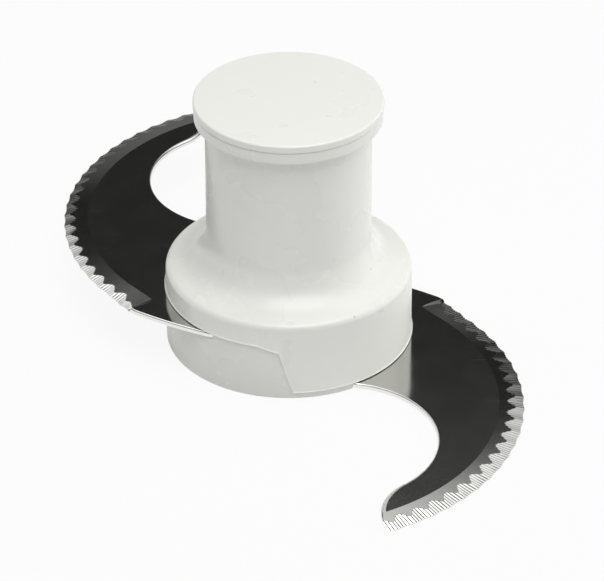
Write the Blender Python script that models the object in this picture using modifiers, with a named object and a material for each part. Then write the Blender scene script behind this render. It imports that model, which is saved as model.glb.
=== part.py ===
"""Food processor blade: two sickle blades held between the mouldings of a flanged hub.

The axis of rotation is Z and the origin is on it, in the plane of the foot. The lower blade
leaves the hub on the +X side and the upper blade, the same pressing turned half round, on -X.
Sizes are in metres.
"""
import math

import bmesh
import bpy
from mathutils import Matrix, Vector

# Hub, outside
HUB_HEIGHT = 0.0657
SKIRT_RADIUS = 0.0300
SKIRT_DRAFT = 0.0001
FOOT_EDGE = 0.0003
LOWER_HUB_DRAFT = 0.0003
SHOULDER_RISE = 0.0045
SHOULDER_EDGE_RADIUS = 0.0016
SHOULDER_SLOPE = 8.0
SHOULDER_WIDTH = 0.0100
STEM_FILLET = 0.0090
FLANGE_OVERHANG = 0.0026
FLANGE_HEIGHT = 0.0031
FLANGE_EDGE = 0.0004
FLANGE_FILLET = 0.0006

# Hub, inside
STEM_WALL = 0.0023
CORE_INNER_WALL = 0.0025
CORE_OUTER_WALL = 0.0025
CORE_ROOF_DROP = 0.0012
WEB_DEPTH = 0.0092
WEB_THICKNESS = 0.0034
RIB_THICKNESS = 0.0016
BOSS_WIDTH = 0.0072

# Top cap
CAP_OVERHANG = 0.0002
CAP_THICKNESS = 0.0016
CAP_EDGE = 0.0005
SPIGOT_WALL = 0.0016
SPIGOT_LENGTH = 0.0026
HOLD_DOWN_RADIUS = 0.0108
HOLD_DOWN_WALL = 0.0016

# Drive socket
SOCKET_RADIUS = 0.0088
SOCKET_LENGTH = 0.0300
SOCKET_FLANGE_RADIUS = 0.0126
SOCKET_FLANGE_FLAT = 0.0104
SOCKET_FLANGE_THICKNESS = 0.0022
SOCKET_RECESS = 0.0012
DRIVE_BORE_RADIUS = 0.0054
DRIVE_BORE_FLAT = 0.0041
DRIVE_BORE_END = 0.0035

# Fits
GAP = 0.0003
BLADE_SEAT_Z = 0.0002

# Parting line of the two hub mouldings, seen along Y
STEP_FOOT_X = 0.0010
STEP_RUN = 0.0034
STEP_TOP_DROP = 0.0016
RAMP_RUN = 0.0055
LIP_PROUD = 0.0003
LIP_HEIGHT = 0.0009

# Blades
BLADE_THICKNESS = 0.0012
BLADE_RISE = 0.0128
INNER_RADIUS = 0.0235
BAY_BITE = 0.0001
BAY_HEADING = -76.5
BLADE_SPREAD = 0.0353
EDGE_OFFSET = (-0.0141, 0.0171)
BLANK_MARGIN = 0.0010
HEEL_ANGLE = 48.6
TIP_RADIUS = 0.0144
TIP_HEADING = -50.7
BACK_EDGE_RADIUS = 0.1200
TANG_SHOULDER = 0.0023
TANG_INNER_WALL = 0.0029
TANG_OUTER_WALL = 0.0032
TANG_END_GAP = 0.0030
TANG_EXIT_ANGLE = 57.0

# Ground edge
BEVEL_WIDTH = 0.0060
BEVEL_LAND = 0.00055
EDGE_LAND = 0.00012
HEEL_RUNOUT = 0.5
HEEL_FLARE = 0.0009
HEEL_FLARE_SHARE = 0.09
HEEL_NARROWING = 0.0006
HEEL_FACET_FADE = 0.9
HEEL_SHARE = 0.06
GROOVE_LEAN = -0.35
HEEL_LEAN = 1.7
TIP_OVERRUN_ANGLE = 3.0
SCALLOP_ANGLE = 4.9
TEETH_PER_SCALLOP = 5
SCALLOP_DEPTH = 0.00030
TOOTH_DEPTH = 0.00020
TOOTH_GROOVE = 0.00009
FACET_LIMIT = 0.8
FACET_ROUNDNESS = 1.4
HEEL_ROUNDING = 0.14
RUNOUT_LIFTS = (0.45, 0.8, 1.0)

# Each blade's own grinding: first crest, and a facet's width in its middle and at a crest
LOWER_GRINDING = (-62.5, 0.0040, 0.0020)
UPPER_GRINDING = (-59.5, 0.0029, 0.0013)

# Stakes that hold the tangs, and their holes
STAKE_ANGLES = (-60.0, 0.0, 60.0)
STAKE_RADIUS = 0.0017
STAKE_HEAD_RADIUS = 0.0027
STAKE_HEAD_HEIGHT = 0.0008
DECK_THICKNESS = 0.0024

# Fineness of the curves
TURN_STEPS = 60
SMALL_TURN_STEPS = 16
ARC_STEP = 5.0
OUTLINE_STEP = 3.0
SHARP_ANGLE = 35.0

# Derived radii and places
STEM_RADIUS = SKIRT_RADIUS - SHOULDER_WIDTH
BORE_RADIUS = STEM_RADIUS - STEM_WALL
FLANGE_RADIUS = STEM_RADIUS + FLANGE_OVERHANG
CAP_RADIUS = FLANGE_RADIUS + CAP_OVERHANG
CORE_INNER_RADIUS = BORE_RADIUS + CORE_INNER_WALL
CORE_OUTER_RADIUS = SKIRT_RADIUS - CORE_OUTER_WALL
TANG_INNER_RADIUS = BORE_RADIUS + TANG_INNER_WALL
TANG_OUTER_RADIUS = SKIRT_RADIUS - TANG_OUTER_WALL
STAKE_CIRCLE = (TANG_INNER_RADIUS + TANG_OUTER_RADIUS) / 2
STAKE_HOLE_RADIUS = STAKE_RADIUS + GAP
BAY_DISTANCE = TANG_OUTER_RADIUS - BAY_BITE + INNER_RADIUS
INNER_CENTRE = (BAY_DISTANCE * math.cos(math.radians(BAY_HEADING)),
                BAY_DISTANCE * math.sin(math.radians(BAY_HEADING)))
EDGE_CENTRE = (INNER_CENTRE[0] + EDGE_OFFSET[0], INNER_CENTRE[1] + EDGE_OFFSET[1])
EDGE_RADIUS = INNER_RADIUS + BLADE_SPREAD
BLANK_RADIUS = EDGE_RADIUS + BLANK_MARGIN
STEP_TOP_X = STEP_FOOT_X - STEP_RUN
RAMP_END_X = STEP_TOP_X - RAMP_RUN
TANG_END_X = STEP_FOOT_X + TANG_END_GAP

# Derived levels
TANG_TOP_Z = BLADE_SEAT_Z + BLADE_THICKNESS
PARTING_LOW_Z = TANG_TOP_Z + GAP
PARTING_HIGH_Z = PARTING_LOW_Z + BLADE_RISE
UPPER_SEAT_Z = BLADE_SEAT_Z + BLADE_RISE - GAP
DECK_BOTTOM_Z = UPPER_SEAT_Z - DECK_THICKNESS
SHOULDER_EDGE_Z = PARTING_HIGH_Z + SHOULDER_RISE
CORE_ROOF_Z = SHOULDER_EDGE_Z - CORE_ROOF_DROP
FLANGE_TOP_Z = HUB_HEIGHT - CAP_THICKNESS - GAP
FLANGE_BOTTOM_Z = FLANGE_TOP_Z - FLANGE_HEIGHT
WEB_TOP_Z = FLANGE_TOP_Z - WEB_DEPTH
WEB_BOTTOM_Z = WEB_TOP_Z - WEB_THICKNESS
RECESS_FLOOR_Z = WEB_TOP_Z - SOCKET_RECESS
SOCKET_SEAT_Z = RECESS_FLOOR_Z + GAP
DRIVE_BORE_DEPTH = SOCKET_LENGTH - DRIVE_BORE_END
OVERRUN = 0.0100


def clear_scene():
    for obj in list(bpy.data.objects):
        bpy.data.objects.remove(obj, do_unlink=True)


def new_collection(name):
    collection = bpy.data.collections.new(name)
    bpy.context.scene.collection.children.link(collection)
    return collection


def new_material(name, colour, roughness, metallic):
    material = bpy.data.materials.new(name)
    material.use_nodes = True
    shader = material.node_tree.nodes["Principled BSDF"]
    shader.inputs["Base Color"].default_value = (*colour, 1.0)
    shader.inputs["Roughness"].default_value = roughness
    shader.inputs["Metallic"].default_value = metallic
    return material


def polar(centre, radius, degrees):
    angle = math.radians(degrees)
    return (centre[0] + radius * math.cos(angle), centre[1] + radius * math.sin(angle))


def arc(centre, radius, start, end, step=ARC_STEP):
    """Points of an arc from one angle to another, both included, in degrees."""
    count = max(1, round(abs(end - start) / step))
    return [polar(centre, radius, start + (end - start) * i / count) for i in range(count + 1)]


def link_mesh(name, mesh, collection):
    obj = bpy.data.objects.new(name, mesh)
    collection.objects.link(obj)
    return obj


def take_mesh(obj, name):
    """The mesh of an object as its modifiers leave it, with the object itself removed."""
    depsgraph = bpy.context.evaluated_depsgraph_get()
    mesh = bpy.data.meshes.new_from_object(obj.evaluated_get(depsgraph))
    mesh.name = name
    bpy.data.objects.remove(obj, do_unlink=True)
    return mesh


def turned(name, profile, collection, steps=TURN_STEPS, closed=True):
    """A profile of (radius, z) points turned round Z. It runs down its outer side."""
    mesh = bpy.data.meshes.new(name)
    count = len(profile)
    edges = [(i, i + 1) for i in range(count - 1)]
    if closed:
        edges.append((count - 1, 0))
    mesh.from_pydata([(r, 0.0, z) for r, z in profile], edges, [])
    obj = link_mesh(name, mesh, collection)
    screw = obj.modifiers.new("Turn", "SCREW")
    screw.axis = "Z"
    screw.steps = steps
    screw.render_steps = steps
    screw.use_merge_vertices = True
    screw.merge_threshold = 0.00001
    return obj


def plate(name, outlines, bottom, top, collection):
    """Flat outlines of (x, y) points as one solid between two levels."""
    curve = bpy.data.curves.new(name, "CURVE")
    curve.dimensions = "2D"
    curve.fill_mode = "BOTH"
    curve.extrude = (top - bottom) / 2
    for outline in outlines:
        spline = curve.splines.new("POLY")
        spline.points.add(len(outline) - 1)
        spline.use_cyclic_u = True
        for point, (x, y) in zip(spline.points, outline):
            point.co = (x, y, 0.0, 1.0)
    obj = bpy.data.objects.new(name, curve)
    collection.objects.link(obj)
    mesh = take_mesh(obj, name)
    mesh.transform(Matrix.Translation((0.0, 0.0, (top + bottom) / 2)))
    cleaned = bmesh.new()
    cleaned.from_mesh(mesh)
    bmesh.ops.remove_doubles(cleaned, verts=cleaned.verts, dist=0.000001)
    bmesh.ops.recalc_face_normals(cleaned, faces=cleaned.faces)
    cleaned.to_mesh(mesh)
    cleaned.free()
    return link_mesh(name, mesh, collection)


def on_side(obj):
    """Turn a plate that was drawn in XY so that its outline stands in XZ."""
    obj.data.transform(Matrix.Rotation(math.radians(90.0), 4, "X"))
    return obj


def repeated(name, mesh, places, collection):
    """Copies of one mesh at several places, as one object of separate bodies."""
    joined = bmesh.new()
    for place in places:
        start = len(joined.verts)
        joined.from_mesh(mesh)
        joined.verts.ensure_lookup_table()
        bmesh.ops.translate(joined, verts=joined.verts[start:], vec=Vector(place))
    result = bpy.data.meshes.new(name)
    joined.to_mesh(result)
    joined.free()
    bpy.data.meshes.remove(mesh)
    return link_mesh(name, result, collection)


def combine(target, tool, operation, collection):
    """Add a Boolean modifier and put its tool among the cutters."""
    modifier = target.modifiers.new(operation.title(), "BOOLEAN")
    modifier.operation = operation
    modifier.solver = "EXACT"
    modifier.object = tool
    tool.hide_render = True
    tool.display_type = "WIRE"
    for owner in list(tool.users_collection):
        owner.objects.unlink(tool)
    collection.objects.link(tool)


def finish_piece(obj, material):
    obj.data.materials.clear()
    obj.data.materials.append(material)
    obj.data.shade_smooth()
    obj.data.set_sharp_from_angle(angle=math.radians(SHARP_ANGLE))


def stem_fillet_radius():
    """Radius of the fillet at the stem's foot, limited by the width of the shoulder."""
    bend = 1 - math.sin(math.radians(SHOULDER_SLOPE))
    room = SHOULDER_WIDTH - SHOULDER_EDGE_RADIUS * bend
    return min(STEM_FILLET, (room - GAP) / bend)


def stem_fillet_top():
    """Height at which the stem's fillet starts, so that it meets the sloping shoulder."""
    slope = math.radians(SHOULDER_SLOPE)
    fillet = stem_fillet_radius()
    fillet_end_r = STEM_RADIUS + fillet * (1 - math.sin(slope))
    edge_start_r = SKIRT_RADIUS - SHOULDER_EDGE_RADIUS * (1 - math.sin(slope))
    edge_start_z = SHOULDER_EDGE_Z + SHOULDER_EDGE_RADIUS * math.cos(slope)
    fall = (edge_start_r - fillet_end_r) * math.tan(slope)
    return edge_start_z + fall + fillet * math.cos(slope)


def upper_hub_profile():
    """Section of the upper moulding before its coring and its parting line are cut."""
    slope = SHOULDER_SLOPE
    flange_top = (FLANGE_RADIUS - FLANGE_EDGE, FLANGE_TOP_Z - FLANGE_EDGE)
    flange_foot = (FLANGE_RADIUS - FLANGE_EDGE, FLANGE_BOTTOM_Z + FLANGE_EDGE)
    under_flange = (STEM_RADIUS + FLANGE_FILLET, FLANGE_BOTTOM_Z - FLANGE_FILLET)
    fillet = stem_fillet_radius()
    stem_foot = (STEM_RADIUS + fillet, stem_fillet_top())
    shoulder_edge = (SKIRT_RADIUS - SHOULDER_EDGE_RADIUS, SHOULDER_EDGE_Z)
    rebate = BORE_RADIUS + GAP
    return (
        arc(flange_top, FLANGE_EDGE, 90.0, 0.0, 30.0)
        + arc(flange_foot, FLANGE_EDGE, 0.0, -90.0, 30.0)
        + arc(under_flange, FLANGE_FILLET, 90.0, 180.0, 30.0)
        + arc(stem_foot, fillet, 180.0, 270.0 - slope, 12.0)
        + arc(shoulder_edge, SHOULDER_EDGE_RADIUS, 90.0 - slope, 0.0, 20.0)
        + [(SKIRT_RADIUS + SKIRT_DRAFT, -OVERRUN),
           (BORE_RADIUS, -OVERRUN),
           (BORE_RADIUS, WEB_BOTTOM_Z),
           (SOCKET_RADIUS + GAP, WEB_BOTTOM_Z),
           (SOCKET_RADIUS + GAP, WEB_TOP_Z),
           (BORE_RADIUS, WEB_TOP_Z),
           (rebate, FLANGE_TOP_Z - SPIGOT_LENGTH),
           (rebate, FLANGE_TOP_Z)]
    )


def parting_line(shift_x=0.0, shift_z=0.0):
    """The stepped line between the mouldings, from -X to +X, as (x, z) points."""
    far = SKIRT_RADIUS + OVERRUN
    points = [(-far, PARTING_HIGH_Z), (RAMP_END_X, PARTING_HIGH_Z),
              (STEP_TOP_X, PARTING_HIGH_Z - STEP_TOP_DROP),
              (STEP_FOOT_X, PARTING_LOW_Z), (far, PARTING_LOW_Z)]
    return [(x + shift_x, z + shift_z) for x, z in points]


def below_parting(cutters):
    """Everything under the parting line, to trim the upper moulding."""
    line = parting_line()
    far = SKIRT_RADIUS + OVERRUN
    depth = -2 * OVERRUN
    outline = line + [(line[-1][0], depth), (line[0][0], depth)]
    return on_side(plate("below_parting", [outline], -far, far, cutters))


def above_parting(cutters):
    """Everything over the parting line less the fitting gap, to trim the lower moulding."""
    line = parting_line(-GAP, -GAP)
    far = SKIRT_RADIUS + OVERRUN
    height = PARTING_HIGH_Z + OVERRUN
    outline = line + [(line[-1][0], height), (line[0][0], height)]
    return on_side(plate("above_parting", [outline], -far, far, cutters))


def lip_band(cutters):
    """A thin collar that follows the parting line, proud of the skirt."""
    reach = SKIRT_RADIUS + SKIRT_DRAFT + LIP_PROUD
    root = (CORE_OUTER_RADIUS + SKIRT_RADIUS) / 2
    top = PARTING_HIGH_Z + LIP_HEIGHT
    collar = turned("lip_collar", [(reach, top), (reach, -GAP), (root, -GAP), (root, top)], cutters)
    line = parting_line()
    raised = [(x, z + LIP_HEIGHT) for x, z in parting_line(LIP_HEIGHT, 0.0)]
    raised[0] = (line[0][0], raised[0][1])
    far = SKIRT_RADIUS + OVERRUN
    lowered = [(x, z) for x, z in reversed(parting_line(-LIP_HEIGHT, -LIP_HEIGHT))]
    band = on_side(plate("lip_follow", [raised + lowered], -far, far, cutters))
    combine(collar, band, "INTERSECT", cutters)
    return link_mesh("lip_band", take_mesh(collar, "lip_band"), cutters)


def sector(inner, outer, start, end):
    """Outline of a ring's sector between two radii and two angles."""
    return (arc((0.0, 0.0), outer, start, end) + arc((0.0, 0.0), inner, end, start))


def upper_coring(cutters):
    """Pockets under the shoulder: two between each pair of bosses, with a rib between."""
    middle = (CORE_INNER_RADIUS + CORE_OUTER_RADIUS) / 2
    boss = math.degrees(BOSS_WIDTH / 2 / middle)
    rib = math.degrees(RIB_THICKNESS / 2 / middle)
    bosses = [angle + turn for turn in (0.0, 180.0) for angle in STAKE_ANGLES]
    spacing = 360.0 / len(bosses)
    pockets = []
    for angle in bosses:
        half = angle + spacing / 2
        pockets.append(sector(CORE_INNER_RADIUS, CORE_OUTER_RADIUS, angle + boss, half - rib))
        pockets.append(sector(CORE_INNER_RADIUS, CORE_OUTER_RADIUS, half + rib,
                              angle + spacing - boss))
    return plate("upper_coring", pockets, -2 * OVERRUN, CORE_ROOF_Z, cutters)


def lower_coring(cutters):
    """Pockets under the deck of the lower moulding, one beneath each stake and between."""
    middle = (CORE_INNER_RADIUS + CORE_OUTER_RADIUS) / 2
    rib = math.degrees(RIB_THICKNESS / 2 / middle)
    half = (STAKE_ANGLES[1] - STAKE_ANGLES[0]) / 4
    first = 180.0 + STAKE_ANGLES[0]
    last = 180.0 + STAKE_ANGLES[-1]
    count = round((last - first) / (2 * half))
    pockets = []
    for index in range(count + 1):
        angle = first + 2 * half * index
        pockets.append(sector(CORE_INNER_RADIUS, CORE_OUTER_RADIUS,
                              angle - half + rib, angle + half - rib))
    return plate("lower_coring", pockets, -OVERRUN, DECK_BOTTOM_Z, cutters)


def stake_places(turn):
    return [(*polar((0.0, 0.0), STAKE_CIRCLE, angle + turn), 0.0) for angle in STAKE_ANGLES]


def stake_set(name, profile, turn, cutters):
    """One turned stake or hole profile repeated at the three places of a tang."""
    single = turned(name + "_one", profile, cutters, SMALL_TURN_STEPS, closed=False)
    return repeated(name, take_mesh(single, name + "_one"), stake_places(turn), cutters)


def lower_stakes(cutters):
    """Stakes through the lower tang, spread flush into its countersinks."""
    root = PARTING_LOW_Z + BLADE_RISE / 2
    foot = BLADE_SEAT_Z
    neck = foot + STAKE_HEAD_HEIGHT
    profile = [(0.0, root), (STAKE_RADIUS, root), (STAKE_RADIUS, neck),
               (STAKE_HEAD_RADIUS, foot), (0.0, foot)]
    return stake_set("lower_stakes", profile, 0.0, cutters)


def upper_stakes(cutters):
    """Stakes through the upper tang and the deck, headed under the deck."""
    root = PARTING_HIGH_Z + (CORE_ROOF_Z - PARTING_HIGH_Z) / 2
    head = DECK_BOTTOM_Z - GAP
    foot = head - STAKE_HEAD_HEIGHT
    profile = [(0.0, root), (STAKE_RADIUS, root), (STAKE_RADIUS, head),
               (STAKE_HEAD_RADIUS, head), (STAKE_HEAD_RADIUS - STAKE_HEAD_HEIGHT / 2, foot),
               (0.0, foot)]
    return stake_set("upper_stakes", profile, 180.0, cutters)


def double_flat(radius, flat):
    """A circle with two flats at plus and minus one distance from its centre, along X."""
    corner = math.degrees(math.acos(flat / radius))
    return (arc((0.0, 0.0), radius, corner, 180.0 - corner, 10.0)
            + arc((0.0, 0.0), radius, 180.0 + corner, 360.0 - corner, 10.0))


def make_upper_hub(collection, cutters, material):
    hub = turned("upper_hub", upper_hub_profile(), collection)
    recess = plate("socket_recess",
                   [double_flat(SOCKET_FLANGE_RADIUS + GAP, SOCKET_FLANGE_FLAT + GAP)],
                   RECESS_FLOOR_Z, WEB_TOP_Z + OVERRUN / 4, cutters)
    combine(hub, recess, "DIFFERENCE", cutters)
    combine(hub, upper_coring(cutters), "DIFFERENCE", cutters)
    combine(hub, lip_band(cutters), "UNION", cutters)
    combine(hub, below_parting(cutters), "DIFFERENCE", cutters)
    combine(hub, lower_stakes(cutters), "UNION", cutters)
    combine(hub, upper_stakes(cutters), "UNION", cutters)
    finish_piece(hub, material)
    return hub


def make_lower_hub(collection, cutters, material):
    top_z = PARTING_HIGH_Z + OVERRUN / 2
    profile = [(SKIRT_RADIUS - LOWER_HUB_DRAFT, top_z), (SKIRT_RADIUS, FOOT_EDGE),
               (SKIRT_RADIUS - FOOT_EDGE, 0.0), (BORE_RADIUS, 0.0), (BORE_RADIUS, top_z)]
    hub = turned("lower_hub", profile, collection)
    combine(hub, above_parting(cutters), "DIFFERENCE", cutters)
    combine(hub, lower_coring(cutters), "DIFFERENCE", cutters)
    pocket = blade_outline(GAP)
    seat = plate("lower_seat", [pocket], -OVERRUN, PARTING_LOW_Z, cutters)
    combine(hub, seat, "DIFFERENCE", cutters)
    turned_pocket = [(-x, -y) for x, y in pocket]
    seat = plate("upper_seat", [turned_pocket], UPPER_SEAT_Z, PARTING_HIGH_Z + GAP, cutters)
    combine(hub, seat, "DIFFERENCE", cutters)
    holes = [(0.0, top_z), (STAKE_HOLE_RADIUS, top_z), (STAKE_HOLE_RADIUS, DECK_BOTTOM_Z - GAP),
             (0.0, DECK_BOTTOM_Z - GAP)]
    combine(hub, stake_set("deck_holes", holes, 180.0, cutters), "DIFFERENCE", cutters)
    finish_piece(hub, material)
    return hub


def make_top_cap(collection, material):
    """Disc with a spigot that fills the flange's bore and a ring that holds the socket down."""
    under = HUB_HEIGHT - CAP_THICKNESS
    spigot = BORE_RADIUS
    spigot_end = FLANGE_TOP_Z - SPIGOT_LENGTH + GAP
    ring_end = SOCKET_SEAT_Z + SOCKET_FLANGE_THICKNESS + GAP
    rim = (CAP_RADIUS - CAP_EDGE, HUB_HEIGHT - CAP_EDGE)
    profile = (
        [(0.0, HUB_HEIGHT)]
        + arc(rim, CAP_EDGE, 90.0, 0.0, 22.5)
        + [(CAP_RADIUS, under), (spigot, under), (spigot, spigot_end),
           (spigot - SPIGOT_WALL, spigot_end), (spigot - SPIGOT_WALL, under),
           (HOLD_DOWN_RADIUS, under), (HOLD_DOWN_RADIUS, ring_end),
           (HOLD_DOWN_RADIUS - HOLD_DOWN_WALL, ring_end),
           (HOLD_DOWN_RADIUS - HOLD_DOWN_WALL, under), (0.0, under)]
    )
    cap = turned("top_cap", profile, collection, closed=False)
    finish_piece(cap, material)
    return cap


def make_drive_socket(collection, cutters, material):
    """Barrel hung in the web, with two flats on its flange and two in its bore."""
    flange_top = SOCKET_SEAT_Z + SOCKET_FLANGE_THICKNESS
    foot = SOCKET_SEAT_Z - SOCKET_LENGTH
    socket = plate("drive_socket", [double_flat(SOCKET_FLANGE_RADIUS, SOCKET_FLANGE_FLAT)],
                   SOCKET_SEAT_Z, flange_top, collection)
    root = SOCKET_SEAT_Z + SOCKET_FLANGE_THICKNESS / 2
    barrel = turned("socket_barrel", [(0.0, root), (SOCKET_RADIUS, root),
                                      (SOCKET_RADIUS, foot + GAP),
                                      (SOCKET_RADIUS - GAP, foot), (0.0, foot)],
                    cutters, TURN_STEPS // 2, closed=False)
    combine(socket, barrel, "UNION", cutters)
    bore = plate("drive_bore", [double_flat(DRIVE_BORE_RADIUS, DRIVE_BORE_FLAT)],
                 foot - OVERRUN, foot + DRIVE_BORE_DEPTH, cutters)
    combine(socket, bore, "DIFFERENCE", cutters)
    finish_piece(socket, material)
    return socket


def angle_about(centre, point):
    return math.degrees(math.atan2(point[1] - centre[1], point[0] - centre[0]))


def circle_meeting(centre_a, radius_a, centre_b, radius_b, side):
    """One of the two places where two circles meet: side is 1 or -1."""
    a, b = Vector(centre_a), Vector(centre_b)
    apart = b - a
    along = (radius_a ** 2 - radius_b ** 2 + apart.length_squared) / (2 * apart.length)
    across = math.sqrt(radius_a ** 2 - along ** 2)
    unit = apart.normalized()
    normal = Vector((-unit.y, unit.x))
    return tuple(a + unit * along + normal * across * side)


def ray_meeting(angle, centre, radius, side):
    """Where the ray from the axis at one angle meets a circle: side is -1 near, 1 far."""
    ray = Vector(polar((0.0, 0.0), 1.0, angle))
    middle = Vector(centre).dot(ray)
    reach = math.sqrt(middle ** 2 - Vector(centre).length_squared + radius ** 2)
    return tuple(ray * (middle + reach * side))


def blade_outline(grow=0.0):
    """Plan of the blank, counter-clockwise, with every side moved out by one distance."""
    axis = (0.0, 0.0)
    blank = BLANK_RADIUS + grow
    back = BACK_EDGE_RADIUS + grow
    inner = INNER_RADIUS - grow
    tip = TIP_RADIUS + grow
    ear_outer = TANG_OUTER_RADIUS + grow
    ear_inner = TANG_INNER_RADIUS - grow
    tip_centre = polar(INNER_CENTRE, INNER_RADIUS + TIP_RADIUS, TIP_HEADING)
    back_root = polar(axis, TANG_OUTER_RADIUS + TANG_SHOULDER, TANG_EXIT_ANGLE)
    back_centre = circle_meeting(polar(EDGE_CENTRE, BLANK_RADIUS, HEEL_ANGLE), BACK_EDGE_RADIUS,
                                 back_root, BACK_EDGE_RADIUS, 1)
    tip_corner = circle_meeting(EDGE_CENTRE, blank, tip_centre, tip, -1)
    heel = circle_meeting(EDGE_CENTRE, blank, back_centre, back, 1)
    exit_angle = TANG_EXIT_ANGLE + math.degrees(grow / ear_outer)
    tang_exit = ray_meeting(exit_angle, back_centre, back, 1)
    ear_end = math.degrees(math.acos((TANG_END_X - grow) / ear_outer))
    bore_end = math.degrees(math.acos((TANG_END_X - grow) / ear_inner))
    front_angle = angle_about(axis, INNER_CENTRE) - math.degrees(grow / ear_outer)
    front = ray_meeting(front_angle, INNER_CENTRE, inner, -1)
    return (
        arc(EDGE_CENTRE, blank, angle_about(EDGE_CENTRE, tip_corner),
            angle_about(EDGE_CENTRE, heel), OUTLINE_STEP)[:-1]
        + arc(back_centre, back, angle_about(back_centre, heel),
              angle_about(back_centre, tang_exit), OUTLINE_STEP)
        + arc(axis, ear_outer, exit_angle, ear_end)
        + arc(axis, ear_inner, bore_end, -bore_end)
        + arc(axis, ear_outer, -ear_end, front_angle)
        + arc(INNER_CENTRE, inner, angle_about(INNER_CENTRE, front), TIP_HEADING)
        + arc(tip_centre, tip, TIP_HEADING + 180.0,
              angle_about(tip_centre, tip_corner) % 360.0)[1:-1]
    )


def bevel_section(angle, share, phase, valley, lift, grinding):
    """Section of the grinding cut as (x, y, z) points, with z over the blade's underside.

    share runs from 0 at the tip to 1 at the heel, phase from 0 to 1 along one scallop and
    lift from 0 to 1 at the heel's run-out.
    """
    near_heel = max(0.0, 1 - (1 - share) / HEEL_SHARE)
    width = BEVEL_WIDTH - HEEL_NARROWING * near_heel ** 2
    start = EDGE_RADIUS - width * (1 - lift * HEEL_ROUNDING)
    fall = (BLADE_THICKNESS - BEVEL_LAND) / width
    bow = math.sin(math.pi * phase)
    flare = HEEL_FLARE * (1 - min(1.0, (1 - share) / HEEL_FLARE_SHARE) ** 2)
    edge = EDGE_RADIUS + flare - SCALLOP_DEPTH * bow - (TOOTH_DEPTH if valley else 0.0)
    middle_depth, crest_depth = grinding[1:]
    depth = crest_depth + (middle_depth - crest_depth) * bow ** FACET_ROUNDNESS
    depth *= 1 - HEEL_FACET_FADE * near_heel
    border = EDGE_RADIUS - min(depth, width * FACET_LIMIT)
    border_z = BLADE_THICKNESS - (border - (EDGE_RADIUS - width)) * fall
    edge_z = EDGE_LAND
    if valley:
        border_z -= TOOTH_GROOVE / 2
        edge_z -= TOOTH_GROOVE / 2
    clear = 2 * BLADE_THICKNESS
    rise = BLADE_THICKNESS + GAP / 3
    border_z += (rise - border_z) * lift
    edge_z += (rise - edge_z) * lift
    below = -GAP + (rise + GAP) * lift
    beyond = BLANK_RADIUS + BLADE_THICKNESS
    inboard = start - GAP
    points = [(inboard, clear), (inboard, BLADE_THICKNESS + GAP * fall), (border, border_z),
              (edge, edge_z), (edge + GAP / 10, below), (beyond, below), (beyond, clear)]
    eased = near_heel * near_heel * (3 - 2 * near_heel)
    lean = (GROOVE_LEAN + (HEEL_LEAN - GROOVE_LEAN) * eased) / width
    return [(*polar(EDGE_CENTRE, radius, angle - lean * (radius - start)), z)
            for radius, z in points]


def grinding_cutter(name, grinding, cutters):
    """Loft through the bevel's sections: scallops with fine teeth, and the heel's run-out."""
    tip_angle = angle_about(EDGE_CENTRE, blade_outline()[0]) - TIP_OVERRUN_ANGLE
    first_crest = grinding[0]
    scallops_ahead = math.ceil((first_crest - tip_angle) / SCALLOP_ANGLE)
    start_angle = first_crest - scallops_ahead * SCALLOP_ANGLE
    per_scallop = 2 * TEETH_PER_SCALLOP
    step = SCALLOP_ANGLE / per_scallop
    rings = []
    for index in range(round((HEEL_ANGLE - start_angle) / step)):
        angle = start_angle + step * index
        share = (angle - tip_angle) / (HEEL_ANGLE - tip_angle)
        phase = (index % per_scallop) / per_scallop
        rings.append(bevel_section(angle, share, phase, index % 2 == 1, 0.0, grinding))
    for lift in RUNOUT_LIFTS:
        angle = HEEL_ANGLE + HEEL_RUNOUT * lift
        rings.append(bevel_section(angle, 1.0, 0.0, False, lift, grinding))
    mesh = bmesh.new()
    loops = [[mesh.verts.new(point) for point in section] for section in rings]
    count = len(loops[0])
    for near, far in zip(loops, loops[1:]):
        for i in range(count):
            j = (i + 1) % count
            mesh.faces.new((near[i], near[j], far[j], far[i]))
    mesh.faces.new(loops[0])
    mesh.faces.new(list(reversed(loops[-1])))
    bmesh.ops.recalc_face_normals(mesh, faces=mesh.faces)
    data = bpy.data.meshes.new(name)
    mesh.to_mesh(data)
    mesh.free()
    return link_mesh(name, data, cutters)


def make_blade(name, grinding, collection, cutters, material):
    """The pressing that both blades are made from, ground on its top face."""
    blade = plate(name, [blade_outline()], 0.0, BLADE_THICKNESS, collection)
    cutter = grinding_cutter(name + "_grinding", grinding, cutters)
    combine(blade, cutter, "DIFFERENCE", cutters)
    countersink = STAKE_HEAD_RADIUS + GAP
    slope = (STAKE_HEAD_RADIUS - STAKE_RADIUS) / STAKE_HEAD_HEIGHT
    neck = (countersink - STAKE_HOLE_RADIUS) / slope
    under = -GAP
    clear = BLADE_THICKNESS + OVERRUN / 4
    profile = [(0.0, clear), (STAKE_HOLE_RADIUS, clear), (STAKE_HOLE_RADIUS, neck),
               (countersink + GAP * slope, under), (0.0, under)]
    holes = stake_set(name + "_holes", profile, 0.0, cutters)
    combine(blade, holes, "DIFFERENCE", cutters)
    mesh = take_mesh(blade, name)
    blade = link_mesh(name, mesh, collection)
    finish_piece(blade, material)
    return blade


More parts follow.
